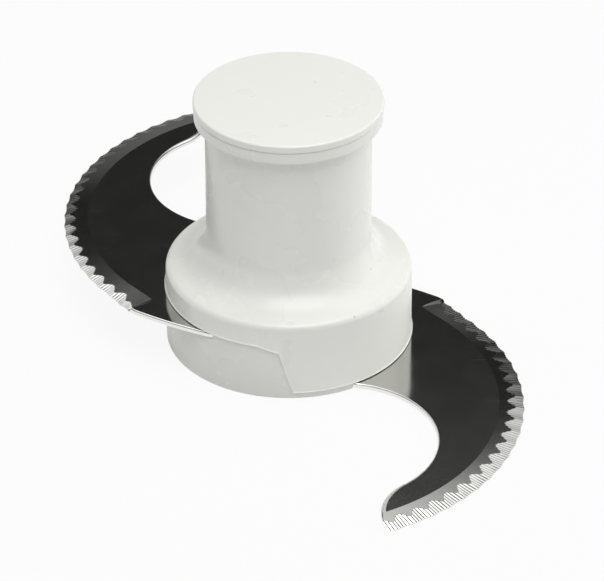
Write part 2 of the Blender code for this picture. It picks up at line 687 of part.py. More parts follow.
def main():
    clear_scene()
    pieces = new_collection("food_processor_blade")
    cutters = new_collection("cutters")
    hub_plastic = new_material("ivory_hub_plastic", (0.80, 0.81, 0.77), 0.38, 0.0)
    socket_plastic = new_material("white_socket_plastic", (0.74, 0.75, 0.72), 0.45, 0.0)
    steel = new_material("polished_blade_steel", (0.62, 0.62, 0.60), 0.10, 1.0)
    make_upper_hub(pieces, cutters, hub_plastic)
    make_lower_hub(pieces, cutters, hub_plastic)
    make_top_cap(pieces, hub_plastic)
    make_drive_socket(pieces, cutters, socket_plastic)
    lower = make_blade("lower_blade", LOWER_GRINDING, pieces, cutters, steel)
    lower.location = (0.0, 0.0, BLADE_SEAT_Z)
    upper = make_blade("upper_blade", UPPER_GRINDING, pieces, cutters, steel)
    upper.location = (0.0, 0.0, BLADE_SEAT_Z + BLADE_RISE)
    upper.rotation_euler = (0.0, 0.0, math.pi)


main()
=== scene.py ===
"""Looks of a food processor knife: two ground sickle blades held in a white moulded hub.

The axis of rotation is Z and the origin is on it, in the plane of the foot. The lower blade
leaves the hub on the +X side and the upper blade, the same pressing turned half round, on -X.
Sizes are in metres.
"""

import math
from types import SimpleNamespace

import bmesh
import bpy
from mathutils import Matrix, Vector


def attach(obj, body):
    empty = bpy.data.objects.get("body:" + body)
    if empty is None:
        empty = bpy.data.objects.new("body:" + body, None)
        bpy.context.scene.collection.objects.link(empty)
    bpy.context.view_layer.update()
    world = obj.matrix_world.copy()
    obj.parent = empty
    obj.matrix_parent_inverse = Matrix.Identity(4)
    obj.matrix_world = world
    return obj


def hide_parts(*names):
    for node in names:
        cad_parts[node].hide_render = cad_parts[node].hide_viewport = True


bl_info = {
    "name": "Food processor knife",
    "version": (1, 0, 0),
    "blender": (4, 5, 0),
    "location": "3D View > Sidebar > Knife",
    "description": "Builds the hub, the drive socket and both blades of a food processor knife",
    "category": "Object",
}

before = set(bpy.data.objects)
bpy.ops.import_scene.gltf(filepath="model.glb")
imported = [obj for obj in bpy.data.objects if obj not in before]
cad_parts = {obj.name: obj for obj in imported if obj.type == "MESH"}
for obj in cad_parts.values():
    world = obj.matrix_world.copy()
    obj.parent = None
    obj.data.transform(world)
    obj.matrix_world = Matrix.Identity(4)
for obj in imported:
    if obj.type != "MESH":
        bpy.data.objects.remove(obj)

# Fineness of the curves: steps along each, and the angles at which a rounding is cut
TURN_STEPS = 240
SMALL_TURN_STEPS = 40
FLANGE_EDGE_STEPS = 6
FLANGE_FILLET_STEPS = 5
SWEEP_STEPS = 26
SHOULDER_EDGE_STEPS = 12
CAP_EDGE_STEPS = 9
LIP_STEPS = 90
SECTOR_STEPS = 12
ROUND_SIDE_STEPS = 40
GROUND_EDGE_STEPS = 110
BACK_EDGE_STEPS = 30
EAR_STEPS = 12
TANG_BORE_STEPS = 50
INNER_EDGE_STEPS = 90
TIP_STEPS = 26
ROUND_ANGLES = (0.0, 15.0, 30.0, 45.0, 60.0, 75.0, 90.0)
UNDER_ROUND_ANGLES = (90.0, 60.0, 30.0, 0.0)

# Shading, the welding of points, and how far a cutting tool runs past what it cuts
SMOOTH_ANGLE = 32.0
FLAT_ANGLE = 2.0
LEVEL_NORMAL = 0.99999
WELD = 0.0000005
OVERRUN = 0.0100

# Fits between the pieces
SEAT_GAP = 0.00015
SEAM_GAP = 0.00005
CAD_GAP = 0.0003
BLADE_SEAT_Z = 0.0002

# Blade outline
BAY_BITE = 0.0001
BAY_HEADING = -76.5
EDGE_OFFSET = (-0.0141, 0.0171)
BLANK_MARGIN = 0.0010
HEEL_ANGLE = 48.6
TIP_HEADING = -50.7
BACK_EDGE_RADIUS = 0.1200
TANG_SHOULDER = 0.0023
TANG_INNER_WALL = 0.0029
TANG_OUTER_WALL = 0.0032
TANG_END_GAP = 0.0030
TANG_EXIT_ANGLE = 57.0
STAKE_ANGLES = (-60.0, 0.0, 60.0)
STAKE_RADIUS = 0.0017
STAKE_HEAD_RADIUS = 0.0027
STAKE_HEAD_HEIGHT = 0.0008
DECK_THICKNESS = 0.0024

# Ground edge
BEVEL_LAND = 0.00055
EDGE_LAND = 0.00012
HEEL_RUNOUT = 0.5
HEEL_FLARE = 0.0009
HEEL_FLARE_SHARE = 0.09
HEEL_ROUNDING = 0.14
HEEL_NARROWING = 0.0006
HEEL_FACET_FADE = 0.9
HEEL_SHARE = 0.06
RUNOUT_LIFTS = (0.25, 0.45, 0.65, 0.8, 0.92, 1.0)
GROOVE_LEAN = -0.35
HEEL_LEAN = 1.7
TIP_OVERRUN_ANGLE = 3.0
FACET_LIMIT = 0.8
FACET_ROUNDNESS = 1.4
GROOVE_STEPS = (0.0, 0.085, 0.17, 0.3, 0.5, 0.7, 0.83, 0.915)
GROOVE_HALF = 0.17
GROOVE_CROWN = 0.05

# Polished rounding: where it grows wide before the tip and narrow after it, in tip lengths
RIM_GROWTH = 1.3
RIM_FADE = 0.3

# Material slots of a blade, and the sides of a grinding section that leave them
# The rim and the teeth take lighter steel than the flats, as painted highlight and painted light,
# and the last slot takes darker steel, as painted shade.
FLAT, RIM, BEVEL, TOOTH, GROOVE = range(5)
BEVEL_SIDE = 1
FACET_SIDES = (2, 3)
# Groove faces deeper than this share take the darkened steel: painted shade.
DARK_GROOVE_FALL = 0.4

# Small edges of the hub and the cap
UPPER_DRAFT = 0.0001
CAP_UNDER_EDGE = 0.0001
FOOT_EDGE_MIDDLE = 0.3

# Parting line of the two hub mouldings, seen along Y
STEP_FOOT_X = 0.0010
STEP_RUN = 0.0034
STEP_TOP_DROP = 0.0016
RAMP_RUN = 0.0055
LIP_CLEAR_ANGLE = 1.3
LIP_SECTION = ((-0.0008, 0.00062), (0.0, 0.00060), (0.0001, 0.00035), (0.00022, 0.00018),
               (0.00034, 0.00007), (0.00036, 0.0), (0.00036, -0.0003), (-0.0008, -0.0003))

# Inside of the hub
CORE_INNER_WALL = 0.0025
CORE_OUTER_WALL = 0.0025
CORE_ROOF_DROP = 0.0012
WEB_DEPTH = 0.0092
WEB_THICKNESS = 0.0034
RIB_THICKNESS = 0.0016
BOSS_WIDTH = 0.0072
SPIGOT_WALL = 0.0016
SPIGOT_LENGTH = 0.0026
HOLD_DOWN_RADIUS = 0.0108
HOLD_DOWN_WALL = 0.0016
SOCKET_FLANGE_FLAT = 0.0104
SOCKET_FLANGE_THICKNESS = 0.0022
SOCKET_RECESS = 0.0012
DRIVE_BORE_FLAT = 0.0041
DRIVE_BORE_END = 0.0035

# Shares of the base colours that the finishes vary between, and the colour of a mark
CLOUD_GREY = (0.965, 0.965, 0.965)
CLOUD_WARM = (1.0, 0.992, 0.975)
SOCKET_GREY = (0.86, 0.86, 0.86)
# Painted highlight: the rim's steel is made lighter than the rest of the steel.
RIM_PAINTED_HIGHLIGHT = (1.35, 1.35, 1.35)
LINE_DARK = (0.82, 0.82, 0.82)
LINE_LIGHT = (1.12, 1.12, 1.12)
MARK_COLOUR = (0.38, 0.36, 0.32)

# How far the gloss of a handled surface lies under its plain value, and its span
CLOUD_GLOSS_DROP = 0.02
CLOUD_GLOSS_SPAN = 0.05

# Turn, stretch and patch density of each family of scratches
SCRATCHES = ((0.5, 26.0, 110.0), (1.9, 20.0, 166.0), (2.7, 32.0, 198.0))
SCRATCH_TILT = (0.2, 0.1)
SCRATCH_LEVELS = (0.70, 0.74)
SCRATCH_PATCH_LEVELS = (0.56, 0.62)
SCRATCH_DEPTH = -0.2

# Small marks: how close they lie, where a mark's soft edge starts and ends, and their patches
MARK_DENSITY = 210.0
MARK_EDGE = (0.055, 0.025)
MARK_PATCH_DENSITY = 160.0
MARK_PATCH_LEVELS = (0.60, 0.66)

# Grinding lines: how fast they change along their run, how fine their bands are beside them,
# and how far they stand up
LINE_RUN = 260.0
BAND_FINENESS = 0.16
LINE_NOISE_ROUGHNESS = 0.6
LINE_HEIGHT = 0.00003

# Facets that a wide wheel has evened out: their tilt, and which normals count as upwards
EVEN_FACET_TILT = 13.0
UPWARD_NORMALS = (0.80, 0.90)

# Camera at the photograph's place
CAMERA_PLACE = (0.0032, -0.8348, 0.5464)
CAMERA_TILT = 57.352
CAMERA_LENS = 241.84
CAMERA_SENSOR = 36.0
CAMERA_SIGHT = 20.0

# Lamps: name, place, size and whether gloss shows them
LAMPS = (("back_lamp", (0.03, 0.36, 1.12), 0.7, True),
         ("front_lamp", (0.12, -0.42, 1.08), 1.0, True),
         ("right_lamp", (0.86, 0.38, 0.30), 0.6, False),
         ("left_lamp", (-0.65, 0.10, 0.95), 0.6, False))
LAMP_AIM = (0.0, 0.0, 0.03)

# Floor
WHITE = (1.0, 1.0, 1.0, 1.0)
FLOOR_COLOUR = (0.75, 0.75, 0.75, 1.0)
FLOOR_REACH = 3.0
FLOOR_Z = -0.00005

# Ring that carries the dark panels: a zone of a ball, by degrees over the table
FLAG_DISTANCE = 1.5
FLAG_FOOT = 0.1
FLAG_TOP = 68.0
FLAG_COLUMNS = 96
FLAG_ROWS = 12

# Brightness of the dark panels and of the gaps between them, by degrees over the table
FLAG_BRIGHTEST = 1.5
PANEL_LEVELS = ((0.0, 0.60), (FLAG_TOP, 1.3), (6.0, 0.38), (10.0, 0.22), (14.0, 0.17),
                (20.0, 0.17), (24.0, 0.10), (27.0, 0.022), (34.0, 0.022), (38.0, 0.07),
                (41.0, 0.20), (44.0, 0.46), (48.0, 0.84), (52.0, 1.10), (57.0, 1.27))
GAP_LEVELS = ((0.0, 0.60), (FLAG_TOP, 1.4), (6.0, 0.38), (10.0, 0.16), (14.0, 0.08),
              (20.0, 0.03), (25.0, 0.04), (28.0, 0.18), (31.0, 0.50), (37.0, 0.80), (43.0, 1.1),
              (48.0, FLAG_BRIGHTEST))
PANEL_HALF = 22.5
PANEL_SOFT_EDGE = (16.4, 18.0)


def length(name, description, default):
    """A length property in metres."""
    return bpy.props.FloatProperty(name=name, description=description, default=default,
                                   min=0.0, precision=5, unit="LENGTH", subtype="DISTANCE")


def degrees(name, description, default):
    """An angle property whose default is given in degrees."""
    return bpy.props.FloatProperty(name=name, description=description,
                                   default=math.radians(default), unit="ROTATION",
                                   subtype="ANGLE")


def colour(name, description, default):
    """A colour property of three linear values."""
    return bpy.props.FloatVectorProperty(name=name, description=description, default=default,
                                         size=3, min=0.0, max=1.0, subtype="COLOR")


def share(name, description, default):
    """A property from 0 to 1."""
    return bpy.props.FloatProperty(name=name, description=description, default=default,
                                   min=0.0, max=1.0, subtype="FACTOR")


def watts(name, description, default):
    """The power of a lamp."""
    return bpy.props.FloatProperty(name=name, description=description, default=default,
                                   min=0.0, unit="POWER")


class KnifeHubSizes(bpy.types.PropertyGroup):
    """Outside sizes of the two hub mouldings and the cap."""

    height: length("Height", "From the foot to the top of the cap", 0.0657)
    skirt_radius: length("Skirt radius", "Radius of the hub at its foot", 0.0300)
    shoulder_width: length("Shoulder width", "From the stem out to the skirt", 0.0100)
    shoulder_rise: length("Shoulder rise", "Skirt height over the upper seam", 0.0045)
    shoulder_edge: length("Shoulder edge", "Radius of the rounded shoulder edge", 0.0016)
    shoulder_slope: degrees("Shoulder slope", "Fall of the shoulder outwards", 8.0)
    stem_fillet: length("Stem fillet", "Radius of the sweep at the stem's foot", 0.0090)
    stem_wall: length("Stem wall", "Wall thickness of the stem", 0.0023)
    flange_overhang: length("Flange overhang", "How far the flange stands out", 0.0026)
    flange_height: length("Flange height", "Height of the flange", 0.0031)
    flange_edge: length("Flange edge", "Rounding of the flange's edges", 0.00035)
    flange_fillet: length("Flange fillet", "Fillet under the flange", 0.0003)
    cap_overhang: length("Cap overhang", "How far the cap stands over the flange", 0.0002)
    cap_thickness: length("Cap thickness", "Thickness of the cap's disc", 0.0016)
    cap_edge: length("Cap edge", "Rounding of the cap's rim", 0.0005)
    lower_draft: length("Lower draft", "Taper of the lower moulding", 0.0003)
    foot_edge: length("Foot edge", "Chamfer round the foot", 0.0003)


class KnifeBladeSizes(bpy.types.PropertyGroup):
    """Sizes of the pressing that both blades are made from, and of each blade's own grinding."""

    thickness: length("Thickness", "Thickness of the sheet", 0.0012)
    rise: length("Rise", "Height between the two blades", 0.0128)
    inner_radius: length("Inner radius", "Radius of the concave inner edge", 0.0235)
    spread: length("Spread", "Edge radius less the inner radius", 0.0353)
    tip_radius: length("Tip radius", "Radius of the rounded tip", 0.0144)
    rim_height: length("Rim height", "Height of the polished rounding of the outline", 0.00045)
    rim_width: length("Rim width", "Width of that rounding along the inner edge", 0.00035)
    rim_width_tip: length("Rim width at the tip", "Width of that rounding there", 0.00110)
    rim_round_under: length("Under rounding", "Rounding of the outline below", 0.00012)
    bevel_width: length("Bevel width", "Width of the ground bevel", 0.0060)
    scallop_angle: degrees("Scallop angle", "From crest to crest about the edge's centre", 4.9)
    grooves: bpy.props.IntProperty(name="Grooves", description="Fine grooves in a scallop",
                                   default=6, min=1)
    scallop_depth: length("Scallop depth", "How far a scallop bites into the edge", 0.0003)
    lower_crest: degrees("Lower crest", "First crest between the lower blade's scallops", -62.5)
    lower_facet: length("Lower facet", "Width of its facets in their middle", 0.0040)
    lower_facet_end: length("Lower facet end", "Width of its facets at a crest", 0.0020)
    upper_crest: degrees("Upper crest", "First crest between the upper blade's scallops", -59.5)
    upper_facet: length("Upper facet", "Width of its facets in their middle", 0.0029)
    upper_facet_end: length("Upper facet end", "Width of its facets at a crest", 0.0013)
    tooth_depth: length("Tooth depth", "Notch of a groove in the edge", 0.00020)
    groove_depth: length("Groove depth", "Depth of a groove in the facet", 0.00009)


class KnifeSocketSizes(bpy.types.PropertyGroup):
    """Sizes of the keyed insert that the spindle turns."""

    radius: length("Barrel radius", "Radius of the barrel", 0.0088)
    length: length("Barrel length", "Length of the barrel", 0.0300)
    flange_radius: length("Flange radius", "Radius of the keyed flange", 0.0126)
    bore_radius: length("Bore radius", "Radius of the keyed bore", 0.0054)


class KnifeFinishes(bpy.types.PropertyGroup):
    """Colours and gloss of the plastics and the steel."""

    hub_colour: colour("Hub plastic", "Warm white of the mouldings", (0.86, 0.87, 0.83))
    hub_roughness: share("Hub roughness", "Gloss of the mouldings", 0.27)
    socket_colour: colour("Socket plastic", "White of the insert", (0.74, 0.75, 0.72))
    steel_colour: colour("Steel", "Tone of the polished steel", (0.62, 0.62, 0.60))
    flat_roughness: share("Flat roughness", "Polish of the flats", 0.11)
    bevel_roughness: share("Bevel roughness", "Polish of the ground bevel", 0.09)


class KnifeStageSettings(bpy.types.PropertyGroup):
    """Floor, lamps and world."""

    world_level: bpy.props.FloatProperty(name="World level", description="Light of the world",
                                         default=0.28, min=0.0)
    back_power: watts("Back lamp", "Power of the lamp behind", 1.8)
    front_power: watts("Front lamp", "Power of the lamp over the front", 7.8)
    right_power: watts("Right lamp", "Power of the low lamp on the right", 3.9)
    left_power: watts("Left lamp", "Power of the lamp on the left", 1.2)
    floor_glow: share("Floor glow", "How plainly white the floor shows", 0.90)


def knife_plan(scene):
    """Every radius, level and place that follows from the sizes in the panel."""
    hub = scene.knife_hub
    blade = scene.knife_blade
    socket = scene.knife_socket
    plan = SimpleNamespace(hub=hub, blade=blade, socket=socket)
    plan.stem = hub.skirt_radius - hub.shoulder_width
    plan.bore = plan.stem - hub.stem_wall
    plan.flange = plan.stem + hub.flange_overhang
    plan.cap = plan.flange + hub.cap_overhang
    plan.core_inner = plan.bore + CORE_INNER_WALL
    plan.core_outer = hub.skirt_radius - CORE_OUTER_WALL
    plan.tang_inner = plan.bore + TANG_INNER_WALL
    plan.tang_outer = hub.skirt_radius - TANG_OUTER_WALL
    plan.stake_circle = (plan.tang_inner + plan.tang_outer) / 2
    bay_distance = plan.tang_outer - BAY_BITE + blade.inner_radius
    plan.inner_centre = polar((0.0, 0.0), bay_distance, BAY_HEADING)
    plan.edge_centre = (plan.inner_centre[0] + EDGE_OFFSET[0],
                        plan.inner_centre[1] + EDGE_OFFSET[1])
    plan.edge = blade.inner_radius + blade.spread
    plan.blank = plan.edge + BLANK_MARGIN
    plan.bevel_fall = (blade.thickness - BEVEL_LAND) / blade.bevel_width
    plan.step_top_x = STEP_FOOT_X - STEP_RUN
    plan.ramp_end_x = plan.step_top_x - RAMP_RUN
    plan.tang_end_x = STEP_FOOT_X + TANG_END_GAP
    plan.parting_low = BLADE_SEAT_Z + blade.thickness + CAD_GAP
    plan.parting_high = plan.parting_low + blade.rise
    plan.upper_seat = BLADE_SEAT_Z + blade.rise - SEAT_GAP
    plan.deck_bottom = plan.upper_seat - DECK_THICKNESS
    plan.shoulder_edge_z = plan.parting_high + hub.shoulder_rise
    plan.core_roof = plan.shoulder_edge_z - CORE_ROOF_DROP
    plan.flange_top = hub.height - hub.cap_thickness - CAD_GAP
    plan.flange_bottom = plan.flange_top - hub.flange_height
    plan.web_top = plan.flange_top - WEB_DEPTH
    plan.web_bottom = plan.web_top - WEB_THICKNESS
    plan.recess_floor = plan.web_top - SOCKET_RECESS
    plan.socket_seat = plan.recess_floor + SEAT_GAP
    return plan


def polar(centre, radius, angle):
    """Point at a radius and an angle in degrees from a centre."""
    turn = math.radians(angle)
    return (centre[0] + radius * math.cos(turn), centre[1] + radius * math.sin(turn))


def arc(centre, radius, start, end, count):
    """Points of an arc from one angle to another in degrees, both included."""
    return [polar(centre, radius, start + (end - start) * i / count) for i in range(count + 1)]


def angle_about(centre, point):
    """Heading of a point from a centre, in degrees."""
    return math.degrees(math.atan2(point[1] - centre[1], point[0] - centre[0]))


def circle_meeting(centre_a, radius_a, centre_b, radius_b, side):
    """One of the two places where two circles meet: side is 1 or -1."""
    a, b = Vector(centre_a), Vector(centre_b)
    apart = b - a
    along = (radius_a ** 2 - radius_b ** 2 + apart.length_squared) / (2 * apart.length)
    across = math.sqrt(radius_a ** 2 - along ** 2)
    unit = apart.normalized()
    return tuple(a + unit * along + Vector((-unit.y, unit.x)) * across * side)


def ray_meeting(angle, centre, radius, side):
    """Where the ray from the axis at one angle meets a circle: side is -1 near, 1 far."""
    ray = Vector(polar((0.0, 0.0), 1.0, angle))
    middle = Vector(centre).dot(ray)
    reach = math.sqrt(middle ** 2 - Vector(centre).length_squared + radius ** 2)
    return tuple(ray * (middle + reach * side))


def object_from(mesh, name):
    """Close a bmesh into an object with its normals outwards."""
    bmesh.ops.recalc_face_normals(mesh, faces=mesh.faces)
    data = bpy.data.meshes.new(name)
    mesh.to_mesh(data)
    mesh.free()
    obj = bpy.data.objects.new(name, data)
    bpy.context.scene.collection.objects.link(obj)
    return obj


def loft(name, loops, closed=False):
    """Skin through loops of as many points each, capped at both ends or joined round."""
    mesh = bmesh.new()
    rings = [[mesh.verts.new(point) for point in loop] for loop in loops]
    count = len(rings[0])
    pairs = list(zip(rings, rings[1:]))
    if closed:
        pairs.append((rings[-1], rings[0]))
    for near, far in pairs:
        for i in range(count):
            j = (i + 1) % count
            mesh.faces.new((near[i], near[j], far[j], far[i]))
    if not closed:
        mesh.faces.new(list(reversed(rings[0])))
        mesh.faces.new(rings[-1])
    return object_from(mesh, name)


def turned(name, profile, steps=TURN_STEPS):
    """A closed profile of (radius, z) points turned round Z. Points on the axis are merged."""
    mesh = bmesh.new()
    rings = []
    for i in range(steps):
        turn = 2 * math.pi * i / steps
        rings.append([mesh.verts.new((r * math.cos(turn), r * math.sin(turn), z))
                      for r, z in profile])
    count = len(profile)
    for i in range(steps):
        near, far = rings[i], rings[(i + 1) % steps]
        for j in range(count):
            k = (j + 1) % count
            if profile[j][0] + profile[k][0] > 0.0:
                mesh.faces.new((near[j], near[k], far[k], far[j]))
    bmesh.ops.remove_doubles(mesh, verts=mesh.verts, dist=WELD)
    bmesh.ops.dissolve_degenerate(mesh, edges=mesh.edges, dist=WELD)
    return object_from(mesh, name)


def plate(name, outlines, bottom, top):
    """Flat outlines of (x, y) points as one solid between two levels."""
    curve = bpy.data.curves.new(name, "CURVE")
    curve.dimensions = "2D"
    curve.fill_mode = "BOTH"
    curve.extrude = (top - bottom) / 2
    for outline in outlines:
        spline = curve.splines.new("POLY")
        spline.points.add(len(outline) - 1)
        spline.use_cyclic_u = True
        for point, (x, y) in zip(spline.points, outline):
            point.co = (x, y, 0.0, 1.0)
    drawn = bpy.data.objects.new(name, curve)
    bpy.context.scene.collection.objects.link(drawn)
    depsgraph = bpy.context.evaluated_depsgraph_get()
    filled = bpy.data.meshes.new_from_object(drawn.evaluated_get(depsgraph))
    bpy.data.objects.remove(drawn, do_unlink=True)
    bpy.data.curves.remove(curve)
    mesh = bmesh.new()
    mesh.from_mesh(filled)
    bpy.data.meshes.remove(filled)
    bmesh.ops.translate(mesh, verts=mesh.verts, vec=(0.0, 0.0, (top + bottom) / 2))
    bmesh.ops.remove_doubles(mesh, verts=mesh.verts, dist=2 * WELD)
    return object_from(mesh, name)


def on_side(obj):
    """Turn a plate that was drawn in XY so that its outline stands in XZ."""
    obj.data.transform(Matrix.Rotation(math.radians(90.0), 4, "X"))
    return obj


def settle(obj):
    """Replace an object's mesh by what its modifiers make of it."""
    depsgraph = bpy.context.evaluated_depsgraph_get()
    mesh = bpy.data.meshes.new_from_object(obj.evaluated_get(depsgraph))
    mesh.name = obj.name
    old = obj.data
    obj.modifiers.clear()
    obj.data = mesh
    bpy.data.meshes.remove(old)


def combine(target, tool, operation):
    """Cut a piece with a tool, or join the tool to it. The tool is used up."""
    modifier = target.modifiers.new(operation.title(), "BOOLEAN")
    modifier.operation = operation
    modifier.solver = "EXACT"
    modifier.object = tool
    settle(target)
    bpy.data.objects.remove(tool, do_unlink=True)


def at_stakes(name, profile, plan, turn):
    """One turned stake or hole profile repeated at the three places of a tang."""
    single = turned(name, profile, SMALL_TURN_STEPS)
    joined = bmesh.new()
    for angle in STAKE_ANGLES:
        start = len(joined.verts)
        joined.from_mesh(single.data)
        joined.verts.ensure_lookup_table()
        place = (*polar((0.0, 0.0), plan.stake_circle, angle + turn), 0.0)
        bmesh.ops.translate(joined, verts=joined.verts[start:], vec=place)
    bpy.data.objects.remove(single, do_unlink=True)
    return object_from(joined, name)


def shade(obj, flats=False):
    """Smooth shading with sharp edges. With flats, faces that lie level keep their own normal."""
    mesh = bmesh.new()
    mesh.from_mesh(obj.data)
    bend = math.radians(SMOOTH_ANGLE)
    slight = math.radians(FLAT_ANGLE)
    for face in mesh.faces:
        face.smooth = True
    for edge in mesh.edges:
        if len(edge.link_faces) != 2:
            edge.smooth = False
            continue
        turn = edge.calc_face_angle(0.0)
        sharp = turn > bend
        if flats and not sharp:
            level = any(abs(face.normal.z) > LEVEL_NORMAL for face in edge.link_faces)
            mixed = len({face.material_index for face in edge.link_faces}) > 1
            sharp = turn > slight and (level or mixed)
        edge.smooth = not sharp
    mesh.to_mesh(obj.data)
    mesh.free()


def deliver(obj, node, materials):
    """Dress a piece, put it in the place of its CAD node and let it ride on the object."""
    obj.name = node + "_moulded" if "blade" not in node else node + "_ground"
    for index, material in enumerate(materials):
        if index < len(obj.data.materials):
            obj.data.materials[index] = material
        else:
            obj.data.materials.append(material)
    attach(obj, "root")
    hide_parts(node)


def stem_fillet_radius(plan):
    """Radius of the sweep at the stem's foot, limited by the width of the shoulder."""
    bend = 1 - math.sin(plan.hub.shoulder_slope)
    room = plan.hub.shoulder_width - plan.hub.shoulder_edge * bend
    return min(plan.hub.stem_fillet, (room - CAD_GAP) / bend)


def stem_fillet_top(plan):
    """Height at which the stem's sweep starts, so that it meets the sloping shoulder."""
    slope = plan.hub.shoulder_slope
    fillet = stem_fillet_radius(plan)
    fillet_end = plan.stem + fillet * (1 - math.sin(slope))
    edge_start = plan.hub.skirt_radius - plan.hub.shoulder_edge * (1 - math.sin(slope))
    edge_start_z = plan.shoulder_edge_z + plan.hub.shoulder_edge * math.cos(slope)
    fall = (edge_start - fillet_end) * math.tan(slope)
    return edge_start_z + fall + fillet * math.cos(slope)


def upper_hub_section(plan):
    """Section of the upper moulding before its coring and its parting line are cut."""
    hub = plan.hub
    slope = math.degrees(hub.shoulder_slope)
    edge = hub.flange_edge
    fillet = stem_fillet_radius(plan)
    rebate = plan.bore + CAD_GAP
    web = plan.socket.radius + SEAT_GAP
    return (
        arc((plan.flange - edge, plan.flange_top - edge), edge, 90.0, 0.0, FLANGE_EDGE_STEPS)
        + arc((plan.flange - edge, plan.flange_bottom + edge), edge, 0.0, -90.0,
              FLANGE_EDGE_STEPS)
        + arc((plan.stem + hub.flange_fillet, plan.flange_bottom - hub.flange_fillet),
              hub.flange_fillet, 90.0, 180.0, FLANGE_FILLET_STEPS)
        + arc((plan.stem + fillet, stem_fillet_top(plan)), fillet, 180.0, 270.0 - slope,
              SWEEP_STEPS)
        + arc((hub.skirt_radius - hub.shoulder_edge, plan.shoulder_edge_z), hub.shoulder_edge,
              90.0 - slope, 0.0, SHOULDER_EDGE_STEPS)
        + [(hub.skirt_radius + UPPER_DRAFT, -OVERRUN),
           (plan.bore, -OVERRUN),
           (plan.bore, plan.web_bottom),
           (web, plan.web_bottom),
           (web, plan.web_top),
           (plan.bore, plan.web_top),
           (rebate, plan.flange_top - SPIGOT_LENGTH),
           (rebate, plan.flange_top)]
    )


def parting_line(plan, shift_x=0.0, shift_z=0.0):
    """The stepped line between the mouldings, from -X to +X, as (x, z) points."""
    far = plan.hub.skirt_radius + OVERRUN
    points = [(-far, plan.parting_high), (plan.ramp_end_x, plan.parting_high),
              (plan.step_top_x, plan.parting_high - STEP_TOP_DROP),
              (STEP_FOOT_X, plan.parting_low), (far, plan.parting_low)]
    return [(x + shift_x, z + shift_z) for x, z in points]


def parting_block(plan, shift_x, shift_z, end_z):
    """Everything between the parting line, moved a little, and one level."""
    line = parting_line(plan, shift_x, shift_z)
    far = plan.hub.skirt_radius + OVERRUN
    outline = line + [(line[-1][0], end_z), (line[0][0], end_z)]
    return on_side(plate("parting_block", [outline], -far, far))


def lip_path(plan):
    """The parting line laid round the skirt, as (way round, z) points of one closed loop."""
    radius = plan.hub.skirt_radius
    line = parting_line(plan)
    bends = [math.degrees(math.acos(x / radius)) for x, _ in reversed(line[1:-1])]
    even = [180.0 * i / LIP_STEPS for i in range(LIP_STEPS + 1)]
    clear = [a for a in even if all(abs(a - bend) > LIP_CLEAR_ANGLE for bend in bends)]
    half = sorted(clear + bends)
    points = []
    for angle in half:
        x = radius * math.cos(math.radians(angle))
        for (x0, z0), (x1, z1) in zip(line, line[1:]):
            if x0 <= x <= x1:
                z = z0 + (z1 - z0) * (x - x0) / (x1 - x0)
        points.append((math.radians(angle) * radius, z))
    around = 2 * math.pi * radius
    points += [(around - s, z) for s, z in reversed(points[1:-1])]
    return points


def parting_lip(plan):
    """A flared lip that follows the parting line round the skirt, mitred at its bends."""
    radius = plan.hub.skirt_radius
    path = lip_path(plan)
    around = 2 * math.pi * radius
    count = len(path)
    loops = []
    for i, (s, z) in enumerate(path):
        before = path[i - 1]
        after = path[(i + 1) % count]
        step_in = Vector((s - before[0] + (around if i == 0 else 0.0), z - before[1]))
        step_out = Vector((after[0] - s + (around if i == count - 1 else 0.0), after[1] - z))
        normal_in = Vector((-step_in.y, step_in.x)).normalized()
        normal_out = Vector((-step_out.y, step_out.x)).normalized()
        mitre = (normal_in + normal_out) / (1 + normal_in.dot(normal_out))
        loop = []
        for out, up in LIP_SECTION:
            turn = (s + mitre.x * up) / radius
            reach = radius + out
            loop.append((reach * math.cos(turn), reach * math.sin(turn), z + mitre.y * up))
        loops.append(loop)
    return loft("parting_lip", loops, closed=True)


def sector(inner, outer, start, end):
    """Outline of a ring's sector between two radii and two angles."""
    return (arc((0.0, 0.0), outer, start, end, SECTOR_STEPS)
            + arc((0.0, 0.0), inner, end, start, SECTOR_STEPS))


def upper_coring(plan):
    """Pockets under the shoulder: two between each pair of bosses, with a rib between."""
    middle = (plan.core_inner + plan.core_outer) / 2
    boss = math.degrees(BOSS_WIDTH / 2 / middle)
    rib = math.degrees(RIB_THICKNESS / 2 / middle)
    bosses = [angle + turn for turn in (0.0, 180.0) for angle in STAKE_ANGLES]
    spacing = 360.0 / len(bosses)
    pockets = []
    for angle in bosses:
        half = angle + spacing / 2
        pockets.append(sector(plan.core_inner, plan.core_outer, angle + boss, half - rib))
        pockets.append(sector(plan.core_inner, plan.core_outer, half + rib,
                              angle + spacing - boss))
    return plate("upper_coring", pockets, -2 * OVERRUN, plan.core_roof)


def lower_coring(plan):
    """Pockets under the deck of the lower moulding, one beneath each stake and between."""
    middle = (plan.core_inner + plan.core_outer) / 2
    rib = math.degrees(RIB_THICKNESS / 2 / middle)
    half = (STAKE_ANGLES[1] - STAKE_ANGLES[0]) / 4
    first = 180.0 + STAKE_ANGLES[0]
    last = 180.0 + STAKE_ANGLES[-1]
    count = round((last - first) / (2 * half))
    pockets = []
    for index in range(count + 1):
        angle = first + 2 * half * index
        pockets.append(sector(plan.core_inner, plan.core_outer,
                              angle - half + rib, angle + half - rib))
    return plate("lower_coring", pockets, -OVERRUN, plan.deck_bottom)


def lower_stakes(plan):
    """Stakes through the lower tang, spread flush into its countersinks."""
    root = plan.parting_low + plan.blade.rise / 2
    neck = BLADE_SEAT_Z + STAKE_HEAD_HEIGHT
    profile = [(0.0, root), (STAKE_RADIUS, root), (STAKE_RADIUS, neck),
               (STAKE_HEAD_RADIUS, BLADE_SEAT_Z), (0.0, BLADE_SEAT_Z)]
    return at_stakes("lower_stakes", profile, plan, 0.0)


